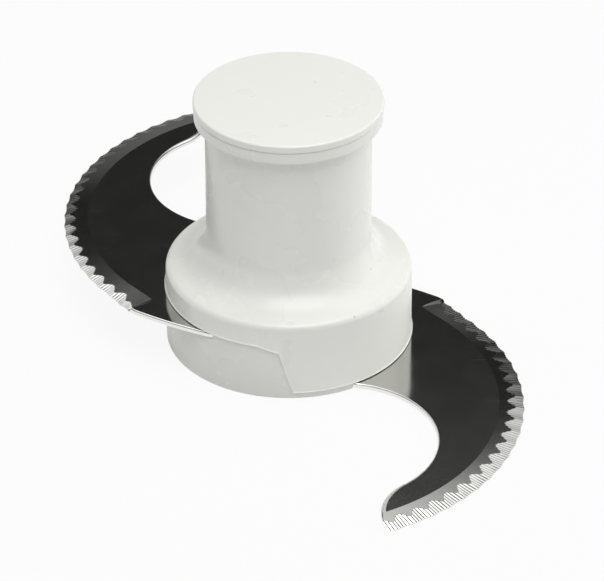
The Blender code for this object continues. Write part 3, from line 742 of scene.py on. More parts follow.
def upper_stakes(plan):
    """Stakes through the upper tang and the deck, with domed heads under the deck."""
    root = (plan.parting_high + plan.core_roof) / 2
    head = plan.deck_bottom - SEAM_GAP
    dome = [(STAKE_HEAD_RADIUS * math.cos(math.radians(a)),
             head - STAKE_HEAD_HEIGHT * math.sin(math.radians(a))) for a in ROUND_ANGLES]
    dome[-1] = (0.0, head - STAKE_HEAD_HEIGHT)
    profile = [(0.0, root), (STAKE_RADIUS, root), (STAKE_RADIUS, head)] + dome
    return at_stakes("upper_stakes", profile, plan, 180.0)


def double_flat(radius, flat):
    """A circle with two flats at plus and minus one distance from its centre, along X."""
    corner = math.degrees(math.acos(flat / radius))
    return (arc((0.0, 0.0), radius, corner, 180.0 - corner, ROUND_SIDE_STEPS)
            + arc((0.0, 0.0), radius, 180.0 + corner, 360.0 - corner, ROUND_SIDE_STEPS))


def blade_outline(plan, grow=0.0):
    """Plan of the blank, counter-clockwise, with every side moved out by one distance."""
    axis = (0.0, 0.0)
    blank = plan.blank + grow
    back = BACK_EDGE_RADIUS + grow
    inner = plan.blade.inner_radius - grow
    tip = plan.blade.tip_radius + grow
    ear_outer = plan.tang_outer + grow
    ear_inner = plan.tang_inner - grow
    tip_centre = polar(plan.inner_centre, plan.blade.inner_radius + plan.blade.tip_radius,
                       TIP_HEADING)
    back_root = polar(axis, plan.tang_outer + TANG_SHOULDER, TANG_EXIT_ANGLE)
    back_centre = circle_meeting(polar(plan.edge_centre, plan.blank, HEEL_ANGLE),
                                 BACK_EDGE_RADIUS, back_root, BACK_EDGE_RADIUS, 1)
    tip_corner = circle_meeting(plan.edge_centre, blank, tip_centre, tip, -1)
    heel = circle_meeting(plan.edge_centre, blank, back_centre, back, 1)
    exit_angle = TANG_EXIT_ANGLE + math.degrees(grow / ear_outer)
    tang_exit = ray_meeting(exit_angle, back_centre, back, 1)
    ear_end = math.degrees(math.acos((plan.tang_end_x - grow) / ear_outer))
    bore_end = math.degrees(math.acos((plan.tang_end_x - grow) / ear_inner))
    front_angle = angle_about(axis, plan.inner_centre) - math.degrees(grow / ear_outer)
    front = ray_meeting(front_angle, plan.inner_centre, inner, -1)
    return (
        arc(plan.edge_centre, blank, angle_about(plan.edge_centre, tip_corner),
            angle_about(plan.edge_centre, heel), GROUND_EDGE_STEPS)[:-1]
        + arc(back_centre, back, angle_about(back_centre, heel),
              angle_about(back_centre, tang_exit), BACK_EDGE_STEPS)
        + arc(axis, ear_outer, exit_angle, ear_end, EAR_STEPS)
        + arc(axis, ear_inner, bore_end, -bore_end, TANG_BORE_STEPS)
        + arc(axis, ear_outer, -ear_end, front_angle, EAR_STEPS)
        + arc(plan.inner_centre, inner, angle_about(plan.inner_centre, front), TIP_HEADING,
              INNER_EDGE_STEPS)
        + arc(tip_centre, tip, TIP_HEADING + 180.0,
              angle_about(tip_centre, tip_corner) % 360.0, TIP_STEPS)[1:-1]
    )


def groove_fall(place):
    """Depth share of the fine grooves at a place along a scallop that is counted in grooves."""
    near = min(place, 1.0 - place)
    notch = max(0.0, 1.0 - near / GROOVE_HALF)
    crown = (0.5 - near) * 2 * GROOVE_CROWN
    return min(1.0, notch + crown)


def grind_section(plan, grinding, angle, phase, groove, lift):
    """Section of the grinding cut as (x, y, z) points, with z over the blade's underside.

    phase runs from 0 to 1 along one scallop, and lift from 0 to 1 at the heel's run-out. A
    facet keeps its slope along its scallop, so the edge stands higher at the crests.
    """
    blade = plan.blade
    thick = blade.thickness
    part = min(1.0, (angle - grinding.tip_angle) / (HEEL_ANGLE - grinding.tip_angle))
    near_heel = max(0.0, 1 - (1 - part) / HEEL_SHARE)
    width = blade.bevel_width - HEEL_NARROWING * near_heel ** 2
    start = plan.edge - width * (1 - lift * HEEL_ROUNDING)
    bow = math.sin(math.pi * phase)
    flare = HEEL_FLARE * (1 - min(1.0, (1 - part) / HEEL_FLARE_SHARE) ** 2)
    edge = plan.edge + flare - blade.scallop_depth * bow - blade.tooth_depth * groove
    reach = grinding.facet_end + (grinding.facet - grinding.facet_end) * bow ** FACET_ROUNDNESS
    reach *= 1 - HEEL_FACET_FADE * near_heel
    reach += blade.groove_depth * groove / grinding.slope
    border = plan.edge - min(reach, width * FACET_LIMIT)
    border_z = thick - (border - (plan.edge - width)) * plan.bevel_fall
    middle = (border + edge) / 2
    edge_z = max(EDGE_LAND, border_z - grinding.slope * (edge - border))
    middle_z = (border_z + edge_z) / 2 - blade.groove_depth * groove
    edge_z = max(EDGE_LAND / 2, edge_z - blade.groove_depth * groove)
    rise = thick + CAD_GAP / 3
    border_z += (rise - border_z) * lift
    middle_z += (rise - middle_z) * lift
    edge_z += (rise - edge_z) * lift
    below = -CAD_GAP + (rise + CAD_GAP) * lift
    clear = 2 * thick
    beyond = plan.blank + thick
    inboard = start - CAD_GAP
    points = [(inboard, clear), (inboard, thick + CAD_GAP * plan.bevel_fall),
              (border, border_z), (middle, middle_z), (edge, edge_z),
              (edge + CAD_GAP / 10, below), (beyond, below), (beyond, clear)]
    eased = near_heel * near_heel * (3 - 2 * near_heel)
    lean = (GROOVE_LEAN + (HEEL_LEAN - GROOVE_LEAN) * eased) / width
    return [(*polar(plan.edge_centre, radius, angle - lean * (radius - start)), z)
            for radius, z in points]


def grinding_of(plan, crest, facet, facet_end):
    """How one blade is ground: its first section, its facets' widths and their slope."""
    spacing = math.degrees(plan.blade.scallop_angle)
    tip_angle = angle_about(plan.edge_centre, blade_outline(plan)[0]) - TIP_OVERRUN_ANGLE
    ahead = math.ceil((math.degrees(crest) - tip_angle) / spacing)
    slope = plan.bevel_fall + (BEVEL_LAND - EDGE_LAND) / facet
    return SimpleNamespace(tip_angle=tip_angle, spacing=spacing, slope=slope, facet=facet,
                           facet_end=facet_end, start=math.degrees(crest) - ahead * spacing)


def grinding_cut(plan, grinding):
    """Loft through the bevel's sections: grooved scallops, and the heel's run-out."""
    blade = plan.blade
    sections = []
    falls = []

    def add_section(angle, phase, fall, lift):
        sections.append(grind_section(plan, grinding, angle, phase, fall, lift))
        falls.append(fall)

    grooves = int((HEEL_ANGLE - grinding.start) / grinding.spacing * blade.grooves)
    for groove in range(grooves):
        for step in GROOVE_STEPS:
            place = (groove + step) / blade.grooves
            add_section(grinding.start + grinding.spacing * place, place % 1.0,
                        groove_fall(step), 0.0)
    for lift in RUNOUT_LIFTS:
        add_section(HEEL_ANGLE + HEEL_RUNOUT * lift, 0.0, 0.0, lift)
    cut = loft("grinding_cut", sections)
    count = len(sections[0])
    runout = len(sections) - len(RUNOUT_LIFTS) - 1
    for index, face in enumerate(cut.data.polygons):
        ring, side = divmod(index, count)
        deepest = max(falls[ring:ring + 2])
        # Painted shade: the heel's run-out and the deepest parts of the grooves take the darkened
        # steel, and the rest of the facets take the lightened steel as painted light.
        if side == BEVEL_SIDE and ring < runout:
            face.material_index = BEVEL
        elif ring >= runout or side in FACET_SIDES and deepest > DARK_GROOVE_FALL:
            face.material_index = GROOVE
        else:
            face.material_index = TOOTH
    return cut


def rim_widths(plan, count):
    """Width of the polished rounding at each point of the outline: wide round the tip."""
    blade = plan.blade
    tip_start = count - (TIP_STEPS - 1)
    widths = []
    for index in range(count):
        grow_in = (index - tip_start + TIP_STEPS) / (RIM_GROWTH * TIP_STEPS)
        fade_out = 1 - index / (RIM_FADE * TIP_STEPS)
        weight = min(1.0, max(0.0, grow_in, fade_out))
        weight = weight * weight * (3 - 2 * weight)
        widths.append(blade.rim_width + (blade.rim_width_tip - blade.rim_width) * weight)
    return widths


def blank_with_round_rim(plan):
    """The pressed blank, with its outline rounded over more at the top than below."""
    blade = plan.blade
    under = blade.rim_round_under
    height = blade.rim_height
    loops = []
    for angle in UNDER_ROUND_ANGLES:
        turn = math.radians(angle)
        z = under * (1 - math.sin(turn))
        loops.append([(x, y, z) for x, y in blade_outline(plan, -under * (1 - math.cos(turn)))])
    outline = blade_outline(plan)
    inset = blade_outline(plan, -blade.rim_width_tip)
    widths = rim_widths(plan, len(outline))
    for angle in ROUND_ANGLES:
        turn = math.radians(angle)
        inwards = 1 - math.cos(turn)
        z = blade.thickness - height * (1 - math.sin(turn))
        loop = []
        for (x0, y0), (x1, y1), width in zip(outline, inset, widths):
            way = inwards * width / blade.rim_width_tip
            loop.append((x0 + (x1 - x0) * way, y0 + (y1 - y0) * way, z))
        loops.append(loop)
    return loft("blank", loops)


def tang_holes(plan):
    """Holes through the tang, countersunk from below for the stakes' heads."""
    hole = STAKE_RADIUS + SEAT_GAP
    sink = STAKE_HEAD_RADIUS + SEAT_GAP
    slope = (STAKE_HEAD_RADIUS - STAKE_RADIUS) / STAKE_HEAD_HEIGHT
    clear = plan.blade.thickness + OVERRUN / 4
    profile = [(0.0, clear), (hole, clear), (hole, (sink - hole) / slope),
               (sink + CAD_GAP * slope, -CAD_GAP), (0.0, -CAD_GAP)]
    return at_stakes("tang_holes", profile, plan, 0.0)


class NodeMaker:
    """Adds nodes to a tree, with short ways for the ones that are used often."""

    def __init__(self, tree):
        self.tree = tree

    def __call__(self, kind, values=None, **settings):
        """A new node with its input values, by input name or number."""
        node = self.tree.nodes.new(kind)
        for key, value in settings.items():
            setattr(node, key, value)
        for key, value in (values or {}).items():
            self.feed(node.inputs[key], value)
        return node

    def feed(self, socket, value):
        """Link an input to another node's output, or set its value."""
        if isinstance(value, bpy.types.NodeSocket):
            self.tree.links.new(value, socket)
        else:
            socket.default_value = value

    def place(self):
        """Where the shaded point lies on its piece."""
        return self("ShaderNodeTexCoord").outputs["Object"]

    def maths(self, operation, *values):
        """The result of an operation on numbers."""
        return self("ShaderNodeMath", dict(enumerate(values)), operation=operation).outputs[0]

    def vector(self, operation, *values):
        """The result of an operation on vectors."""
        return self("ShaderNodeVectorMath", dict(enumerate(values)),
                    operation=operation).outputs[0]

    def ranged(self, value, first=0.0, last=1.0, low=0.0, high=1.0, **settings):
        """A value between first and last, brought between low and high."""
        return self("ShaderNodeMapRange", {0: value, 1: first, 2: last, 3: low, 4: high},
                    **settings).outputs[0]

    def noise(self, place, scale, detail=2.0, roughness=0.5):
        """Cloudy noise."""
        return self("ShaderNodeTexNoise", {"Vector": place, "Scale": scale, "Detail": detail,
                                           "Roughness": roughness}).outputs["Fac"]

    def tone(self, share, first, second):
        """A colour between two others, each a colour or another node's output."""
        ends = [colour if isinstance(colour, bpy.types.NodeSocket) else (*colour, 1.0)
                for colour in (first, second)]
        return self("ShaderNodeMix", {0: share, 6: ends[0], 7: ends[1]},
                    data_type="RGBA").outputs[2]

    def bump(self, height, strength, distance):
        """A node that shades a height as if it stood up from the surface."""
        return self("ShaderNodeBump", {"Height": height, "Strength": strength,
                                       "Distance": distance})

    def group(self, tree, values=None):
        """The outputs of a node group."""
        return self("ShaderNodeGroup", values, node_tree=tree).outputs


def new_group(name, inputs, outputs, kind="NodeSocketFloat"):
    """An empty shader node group with number inputs and one kind of output."""
    group = bpy.data.node_groups.new(name, "ShaderNodeTree")
    for label, default in inputs.items():
        socket = group.interface.new_socket(label, in_out="INPUT", socket_type="NodeSocketFloat")
        socket.default_value = default
    for label in outputs:
        group.interface.new_socket(label, in_out="OUTPUT", socket_type=kind)
    add = NodeMaker(group)
    return group, add, add("NodeGroupInput").outputs, add("NodeGroupOutput").inputs


def mottle_group():
    """Soft cloudy variation with a finer speckle over it, for plastic and polished steel."""
    group, add, given, out = new_group(
        "Moulding mottle", {"Cloud size": 0.02, "Speckle size": 0.0008}, ("Cloud", "Speckle"))
    place = add.place()
    for size, result, detail in (("Cloud size", "Cloud", 3.0), ("Speckle size", "Speckle", 2.0)):
        scale = add.maths("DIVIDE", 1.0, given[size])
        add.feed(out[result], add.noise(place, scale, detail))
    return group


def scuff_group():
    """Sparse fine scratches and small marks from handling, as two masks."""
    group, add, given, out = new_group(
        "Handling scuffs", {"Scratch size": 0.01, "Share": 0.5}, ("Scratches", "Marks"))
    place = add.place()
    scale = add.maths("DIVIDE", 1.0, given["Scratch size"])
    families = []
    for turn, stretch, density in SCRATCHES:
        spun = add("ShaderNodeMapping", {"Vector": place, "Rotation": (*SCRATCH_TILT, turn),
                                         "Scale": (1.0, stretch, stretch)})
        lines = add.ranged(add.noise(spun.outputs[0], scale, detail=1.0), *SCRATCH_LEVELS)
        patches = add.ranged(add.noise(place, density), *SCRATCH_PATCH_LEVELS)
        families.append(add.maths("MULTIPLY", lines, patches))
    scratches = families[0]
    for family in families[1:]:
        scratches = add.maths("MAXIMUM", scratches, family)
    add.feed(out["Scratches"], add.maths("MULTIPLY", scratches, given["Share"]))
    cells = add("ShaderNodeTexVoronoi", {"Vector": place, "Scale": MARK_DENSITY,
                                         "Randomness": 1.0})
    dots = add.ranged(cells.outputs["Distance"], *MARK_EDGE)
    chosen = add.ranged(add.noise(place, MARK_PATCH_DENSITY), *MARK_PATCH_LEVELS)
    add.feed(out["Marks"], add.maths("MULTIPLY", dots, chosen))
    return group


def grind_group(plan):
    """Fine lines that run across the ground bevel, from its inner border out to the edge."""
    group, add, given, out = new_group(
        "Grinding lines", {"Pitch": 0.00012, "Skew": GROOVE_LEAN}, ("Lines", "Bands"))
    centred = add.vector("SUBTRACT", add.place(), (*plan.edge_centre, 0.0))
    parts = add("ShaderNodeSeparateXYZ", {0: centred}).outputs
    heading = add.maths("ARCTAN2", parts[1], parts[0])
    flat = add("ShaderNodeCombineXYZ", {0: parts[0], 1: parts[1], 2: 0.0}).outputs[0]
    reach = add("ShaderNodeVectorMath", {0: flat}, operation="LENGTH").outputs["Value"]
    along = add.maths("MULTIPLY", heading, plan.edge)
    per_degree = math.radians(1.0) * plan.edge / plan.blade.bevel_width
    lean = add.maths("MULTIPLY", given["Skew"], per_degree)
    skewed = add.maths("MULTIPLY_ADD", reach, lean, along)
    density = add.maths("DIVIDE", 1.0, given["Pitch"])
    across = add.maths("MULTIPLY", skewed, density)
    for result, fineness in (("Lines", 1.0), ("Bands", BAND_FINENESS)):
        spot = add("ShaderNodeCombineXYZ", {0: add.maths("MULTIPLY", across, fineness),
                                            1: add.maths("MULTIPLY", reach, LINE_RUN * fineness),
                                            2: 0.0})
        add.feed(out[result], add.noise(spot.outputs[0], 1.0, roughness=LINE_NOISE_ROUGHNESS))
    return group


def shared_group(name, make, *details):
    """A node group by name, made when it is first asked for."""
    return bpy.data.node_groups.get(name) or make(*details)


def new_material(name, base, roughness, metallic):
    """A material with its Principled shader set, the shader's inputs and a node maker."""
    material = bpy.data.materials.new(name)
    material.use_nodes = True
    surface = material.node_tree.nodes["Principled BSDF"].inputs
    surface["Base Color"].default_value = (*base, 1.0)
    surface["Roughness"].default_value = roughness
    surface["Metallic"].default_value = metallic
    return material, surface, NodeMaker(material.node_tree)


def tinted(base, shares):
    """A colour with each of its parts brought to a share of it, up to full."""
    return tuple(min(1.0, part * share) for part, share in zip(base, shares))


def handled_gloss(add, mottle, scuffs, roughness, scratch_gloss):
    """Cloudy gloss round a plain roughness, duller in the scratches."""
    low = roughness - CLOUD_GLOSS_DROP
    gloss = add.ranged(mottle["Cloud"], low=low, high=low + CLOUD_GLOSS_SPAN)
    return add.maths("MULTIPLY_ADD", scuffs["Scratches"], scratch_gloss, gloss)


def hub_plastic(finishes):
    """Warm white moulded plastic with soft mottling, specks and a few scuffs."""
    name = "moulded_ivory_plastic"
    if name in bpy.data.materials:
        return bpy.data.materials[name]
    base = tuple(finishes.hub_colour)
    material, surface, add = new_material(name, base, finishes.hub_roughness, 0.0)
    mottle = add.group(shared_group("Moulding mottle", mottle_group))
    scuffs = add.group(shared_group("Handling scuffs", scuff_group))
    tone = add.tone(mottle["Cloud"], tinted(base, CLOUD_GREY), tinted(base, CLOUD_WARM))
    add.feed(surface["Base Color"], add.tone(scuffs["Marks"], tone, MARK_COLOUR))
    add.feed(surface["Roughness"],
             handled_gloss(add, mottle, scuffs, finishes.hub_roughness, scratch_gloss=0.06))
    height = add.maths("MULTIPLY_ADD", scuffs["Scratches"], SCRATCH_DEPTH, mottle["Speckle"])
    bump = add.bump(height, strength=0.12, distance=0.00004)
    add.feed(surface["Normal"], bump.outputs[0])
    return material


def socket_plastic(finishes):
    """White satin plastic of the insert, with a grey mottling."""
    base = tuple(finishes.socket_colour)
    material, surface, add = new_material("moulded_white_plastic", base, roughness=0.45,
                                          metallic=0.0)
    mottle = add.group(shared_group("Moulding mottle", mottle_group), {"Cloud size": 0.006})
    add.feed(surface["Base Color"], add.tone(mottle["Cloud"], tinted(base, SOCKET_GREY), base))
    add.feed(surface["Roughness"], add.ranged(mottle["Speckle"], low=0.36, high=0.54))
    bump = add.bump(mottle["Speckle"], strength=0.2, distance=0.00005)
    add.feed(surface["Normal"], bump.outputs[0])
    return material


def polished_flat(finishes):
    """Near mirror steel of the flats, with cloudy polish and hairline scratches."""
    name = "polished_flat_steel"
    if name in bpy.data.materials:
        return bpy.data.materials[name]
    base = tuple(finishes.steel_colour)
    material, surface, add = new_material(name, base, finishes.flat_roughness, 1.0)
    mottle = add.group(shared_group("Moulding mottle", mottle_group),
                       {"Cloud size": 0.009, "Speckle size": 0.0003})
    scuffs = add.group(shared_group("Handling scuffs", scuff_group),
                       {"Scratch size": 0.012, "Share": 0.5})
    add.feed(surface["Roughness"],
             handled_gloss(add, mottle, scuffs, finishes.flat_roughness, scratch_gloss=0.10))
    bump = add.bump(mottle["Cloud"], strength=0.05, distance=0.00001)
    add.feed(surface["Normal"], bump.outputs[0])
    return material


def polished_rim_painted_highlight(finishes):
    """Rolled rim of the blank, with its steel made lighter than the rest as painted highlight."""
    name = "blade_rim_steel"
    if name in bpy.data.materials:
        return bpy.data.materials[name]
    # Painted highlight: the rim's base colour is lighter than the steel's own.
    base = tinted(finishes.steel_colour, RIM_PAINTED_HIGHLIGHT)
    material, surface, add = new_material(name, base, roughness=0.22, metallic=1.0)
    mottle = add.group(shared_group("Moulding mottle", mottle_group), {"Speckle size": 0.0006})
    add.feed(surface["Roughness"], add.ranged(mottle["Speckle"], low=0.16, high=0.30))
    return material


def facet_normal_group(plan):
    """Normals of facets that a wide wheel has evened out, on the faces that look upwards."""
    group, add, given, out = new_group(
        "Even facets", {"Tilt": math.radians(EVEN_FACET_TILT), "Share": 0.7}, ("Normal",),
        "NodeSocketVector")
    centred = add.vector("SUBTRACT", add.place(), (*plan.edge_centre, 0.0))
    outwards = add.vector("NORMALIZE", add.vector("MULTIPLY", centred, (1.0, 1.0, 0.0)))
    steepness = add.maths("TANGENT", given["Tilt"])
    leaning = add("ShaderNodeVectorMath", {0: outwards, "Scale": steepness},
                  operation="SCALE").outputs[0]
    upright = add.vector("ADD", leaning, (0.0, 0.0, 1.0))
    turned_round = add("ShaderNodeVectorTransform", {0: upright}, vector_type="NORMAL",
                       convert_from="OBJECT", convert_to="WORLD")
    surface = add("ShaderNodeNewGeometry").outputs["Normal"]
    height = add("ShaderNodeSeparateXYZ", {0: surface}).outputs[2]
    amount = add.maths("MULTIPLY", add.ranged(height, *UPWARD_NORMALS), given["Share"])
    blend = add("ShaderNodeMix", {0: amount, 4: surface, 5: turned_round.outputs[0]},
                data_type="VECTOR")
    add.feed(out["Normal"], add.vector("NORMALIZE", blend.outputs[1]))
    return group


def ground_steel(name, finishes, plan, pitch, depth, spread, painted_light_share=1.0, even=0.0):
    """Ground steel with fine lines across the bevel.

    The pitch of the lines and the depth and spread of gloss of their bands are given, the share
    by which the steel's base colour is lightened or darkened as painted light or shade, and
    what share of its facets' tilt is evened out.
    """
    if name in bpy.data.materials:
        return bpy.data.materials[name]
    # Painted light or shade: the steel's base colour is taken times a share, above 1 for the
    # teeth and far below 1 for the grooves.
    base = tuple(value * painted_light_share for value in finishes.steel_colour)
    middle = finishes.bevel_roughness
    material, surface, add = new_material(name, base, middle, 1.0)
    grind = add.group(shared_group("Grinding lines", grind_group, plan),
                      {"Pitch": pitch, "Skew": GROOVE_LEAN})
    add.feed(surface["Roughness"],
             add.ranged(grind["Bands"], low=middle - spread, high=middle + spread))
    add.feed(surface["Base Color"],
             add.tone(grind["Lines"], tinted(base, LINE_DARK), tinted(base, LINE_LIGHT)))
    bump = add.bump(grind["Bands"], depth, LINE_HEIGHT)
    if even:
        facets = add.group(shared_group("Even facets", facet_normal_group, plan),
                           {"Share": even})
        add.feed(bump.inputs["Normal"], facets[0])
    add.feed(surface["Normal"], bump.outputs[0])
    return material


class KNIFE_OT_top_cap(bpy.types.Operator):
    """Turn the cap: a disc with a rounded rim, its spigot and the ring that holds the socket"""

    bl_idname = "knife.top_cap"
    bl_label = "Top cap"

    def execute(self, context):
        plan = knife_plan(context.scene)
        hub = plan.hub
        under = plan.flange_top + SEAM_GAP
        inside = hub.height - hub.cap_thickness
        spigot = plan.bore
        spigot_end = plan.flange_top - SPIGOT_LENGTH + CAD_GAP
        ring_end = plan.socket_seat + SOCKET_FLANGE_THICKNESS + SEAT_GAP
        rim = (plan.cap - hub.cap_edge, hub.height - hub.cap_edge)
        profile = (
            [(0.0, hub.height)]
            + arc(rim, hub.cap_edge, 90.0, 0.0, CAP_EDGE_STEPS)
            + [(plan.cap, under + CAP_UNDER_EDGE), (plan.cap - CAP_UNDER_EDGE, under),
               (spigot, under), (spigot, spigot_end),
               (spigot - SPIGOT_WALL, spigot_end), (spigot - SPIGOT_WALL, inside),
               (HOLD_DOWN_RADIUS, inside), (HOLD_DOWN_RADIUS, ring_end),
               (HOLD_DOWN_RADIUS - HOLD_DOWN_WALL, ring_end),
               (HOLD_DOWN_RADIUS - HOLD_DOWN_WALL, inside), (0.0, inside)]
        )
        cap = turned("cap", profile)
        shade(cap)
        deliver(cap, "top_cap", [hub_plastic(context.scene.knife_finish)])
        return {"FINISHED"}


class KNIFE_OT_upper_hub(bpy.types.Operator):
    """Turn the tall moulding, core it, give it its lip and trim it along the parting line"""

    bl_idname = "knife.upper_hub"
    bl_label = "Upper hub"

    def execute(self, context):
        plan = knife_plan(context.scene)
        hub = turned("hub", upper_hub_section(plan))
        recess = double_flat(plan.socket.flange_radius + SEAT_GAP,
                             SOCKET_FLANGE_FLAT + SEAT_GAP)
        combine(hub, plate("recess", [recess], plan.recess_floor,
                           plan.web_top + OVERRUN / 4), "DIFFERENCE")
        combine(hub, upper_coring(plan), "DIFFERENCE")
        combine(hub, parting_lip(plan), "UNION")
        combine(hub, parting_block(plan, 0.0, 0.0, -2 * OVERRUN), "DIFFERENCE")
        combine(hub, lower_stakes(plan), "UNION")
        combine(hub, upper_stakes(plan), "UNION")
        shade(hub)
        deliver(hub, "upper_hub",
                [hub_plastic(context.scene.knife_finish)])
        return {"FINISHED"}


class KNIFE_OT_lower_hub(bpy.types.Operator):
    """Turn the stepped ring and cut its coring, the seats of the tangs and its stake holes"""

    bl_idname = "knife.lower_hub"
    bl_label = "Lower hub"

    def execute(self, context):
        plan = knife_plan(context.scene)
        sizes = plan.hub
        top = plan.parting_high + OVERRUN / 2
        inset = sizes.foot_edge * FOOT_EDGE_MIDDLE
        section = [(sizes.skirt_radius - sizes.lower_draft, top),
                   (sizes.skirt_radius, sizes.foot_edge), (sizes.skirt_radius - inset, inset),
                   (sizes.skirt_radius - sizes.foot_edge, 0.0), (plan.bore, 0.0),
                   (plan.bore, top)]
        hub = turned("hub", section)
        combine(hub, parting_block(plan, -SEAM_GAP, -SEAM_GAP, top + OVERRUN), "DIFFERENCE")
        combine(hub, lower_coring(plan), "DIFFERENCE")
        pocket = blade_outline(plan, SEAT_GAP)
        combine(hub, plate("lower_seat", [pocket], -OVERRUN, plan.parting_low), "DIFFERENCE")
        turned_pocket = [(-x, -y) for x, y in pocket]
        combine(hub, plate("upper_seat", [turned_pocket], plan.upper_seat,
                           plan.parting_high + CAD_GAP), "DIFFERENCE")
        hole = STAKE_RADIUS + SEAT_GAP
        foot = plan.deck_bottom - CAD_GAP
        holes = [(0.0, top), (hole, top), (hole, foot), (0.0, foot)]
        combine(hub, at_stakes("deck_holes", holes, plan, 180.0), "DIFFERENCE")
        shade(hub)
        deliver(hub, "lower_hub",
                [hub_plastic(context.scene.knife_finish)])
        return {"FINISHED"}


class KNIFE_OT_drive_socket(bpy.types.Operator):
    """Build the keyed insert in the hub's web, with its flange and its bore"""

    bl_idname = "knife.drive_socket"
    bl_label = "Drive socket"

    def execute(self, context):
        plan = knife_plan(context.scene)
        sizes = plan.socket
        top = plan.socket_seat + SOCKET_FLANGE_THICKNESS
        foot = plan.socket_seat - sizes.length
        ease = CAD_GAP
        socket = plate("socket", [double_flat(sizes.flange_radius, SOCKET_FLANGE_FLAT)],
                       plan.socket_seat, top)
        root = plan.socket_seat + SOCKET_FLANGE_THICKNESS / 2
        barrel = turned("barrel", [(0.0, root), (sizes.radius, root),
                                   (sizes.radius, foot + ease),
                                   (sizes.radius - ease, foot), (0.0, foot)])
        combine(socket, barrel, "UNION")
        bore = plate("bore", [double_flat(sizes.bore_radius, DRIVE_BORE_FLAT)],
                     foot - OVERRUN, foot + sizes.length - DRIVE_BORE_END)
        combine(socket, bore, "DIFFERENCE")
        mouth = plate("mouth", [double_flat(sizes.bore_radius + ease, DRIVE_BORE_FLAT + ease)],
                      foot - OVERRUN, foot + ease)
        combine(socket, mouth, "DIFFERENCE")
        shade(socket)
        deliver(socket, "drive_socket",
                [socket_plastic(context.scene.knife_finish)])
        return {"FINISHED"}


def blade_materials(finishes, plan):
    """The materials of a blade in the order of its slots."""
    return [polished_flat(finishes), polished_rim_painted_highlight(finishes),
            ground_steel("ground_bevel_steel", finishes, plan, pitch=0.00025, depth=0.12,
                         spread=0.02),
            # Painted light: the teeth's steel is made lighter than the flats' steel.
            ground_steel("ground_tooth_steel", finishes, plan, pitch=0.00020, depth=0.10,
                         spread=0.02, painted_light_share=1.2, even=0.75),
            # Painted shade: the deep grooves and the heel's run-out get a much darker steel than
            # the rest.
            ground_steel("groove_steel", finishes, plan, pitch=0.00020, depth=0.10,
                         spread=0.05, painted_light_share=0.22)]


def ground_blade(plan, finishes, grinding):
    """The pressing that both blades are made from, with its outline rounded, ground."""
    materials = blade_materials(finishes, plan)
    blade = blank_with_round_rim(plan)
    cut = grinding_cut(plan, grinding)
    for material in materials:
        blade.data.materials.append(material)
        cut.data.materials.append(material)
    for face in blade.data.polygons:
        face.material_index = FLAT if abs(face.normal.z) > LEVEL_NORMAL else RIM
    combine(blade, cut, "DIFFERENCE")
    combine(blade, tang_holes(plan), "DIFFERENCE")
    shade(blade, flats=True)
    return blade, materials


class KNIFE_OT_lower_blade(bpy.types.Operator):
    """Press and grind the blade that lies in the foot"""

    bl_idname = "knife.lower_blade"
    bl_label = "Lower blade"

    def execute(self, context):
        plan = knife_plan(context.scene)
        sizes = plan.blade
        grinding = grinding_of(plan, sizes.lower_crest, sizes.lower_facet, sizes.lower_facet_end)
        blade, materials = ground_blade(plan, context.scene.knife_finish, grinding)
        blade.location = (0.0, 0.0, BLADE_SEAT_Z)
        deliver(blade, "lower_blade", materials)
        return {"FINISHED"}


class KNIFE_OT_upper_blade(bpy.types.Operator):
    """Press and grind the blade on the deck, and turn it half round"""

    bl_idname = "knife.upper_blade"
    bl_label = "Upper blade"

    def execute(self, context):
        plan = knife_plan(context.scene)
        sizes = plan.blade
        grinding = grinding_of(plan, sizes.upper_crest, sizes.upper_facet, sizes.upper_facet_end)
        blade, materials = ground_blade(plan, context.scene.knife_finish, grinding)
        blade.location = (0.0, 0.0, BLADE_SEAT_Z + sizes.rise)
        blade.rotation_euler = (0.0, 0.0, math.pi)
        deliver(blade, "upper_blade", materials)
        return {"FINISHED"}


def stage_material(name):
    """A material without any nodes yet, and a node maker for it."""
    material = bpy.data.materials.new(name)
    material.use_nodes = True
    material.node_tree.nodes.clear()
    return material, NodeMaker(material.node_tree)


def stage_object(name, points, faces, material):
    """A plain stage piece that isn't part of the knife."""
    mesh = bpy.data.meshes.new(name)
    mesh.from_pydata(points, [], faces)
    mesh.materials.append(material)
    obj = bpy.data.objects.new(name, mesh)
    bpy.context.scene.collection.objects.link(obj)
    return obj


def add_lamp(name, place, size, power):
    """An area lamp that looks at the middle of the knife."""
    lamp = bpy.data.lights.new(name, "AREA")
    lamp.shape = "DISK"
    lamp.size = size
    lamp.energy = power
    obj = bpy.data.objects.new(name, lamp)
    obj.location = place
    aim = Vector(place) - Vector(LAMP_AIM)
    obj.rotation_euler = aim.to_track_quat("Z", "Y").to_euler()
    bpy.context.scene.collection.objects.link(obj)
    return obj


def seen_plainly(add):
    """A mask of the rays from the camera, from gloss and through clear things."""
    path = add("ShaderNodeLightPath").outputs
    first = add.maths("MAXIMUM", path["Is Camera Ray"], path["Is Glossy Ray"])
    return add.maths("MAXIMUM", first, path["Is Transmission Ray"])


def flag_level(add, share_of_top, levels):
    """Share of the flags' full brightness, from pairs of an angle over the table and a level."""
    ramp = add("ShaderNodeValToRGB", {0: share_of_top})
    stops = ramp.color_ramp.elements
    for index, (angle, level) in enumerate(levels):
        place = angle / FLAG_TOP
        stop = stops[index] if index < 2 else stops.new(place)
        stop.position = place
        grey = level / FLAG_BRIGHTEST
        stop.color = (grey, grey, grey, 1.0)
    return ramp.outputs[0]


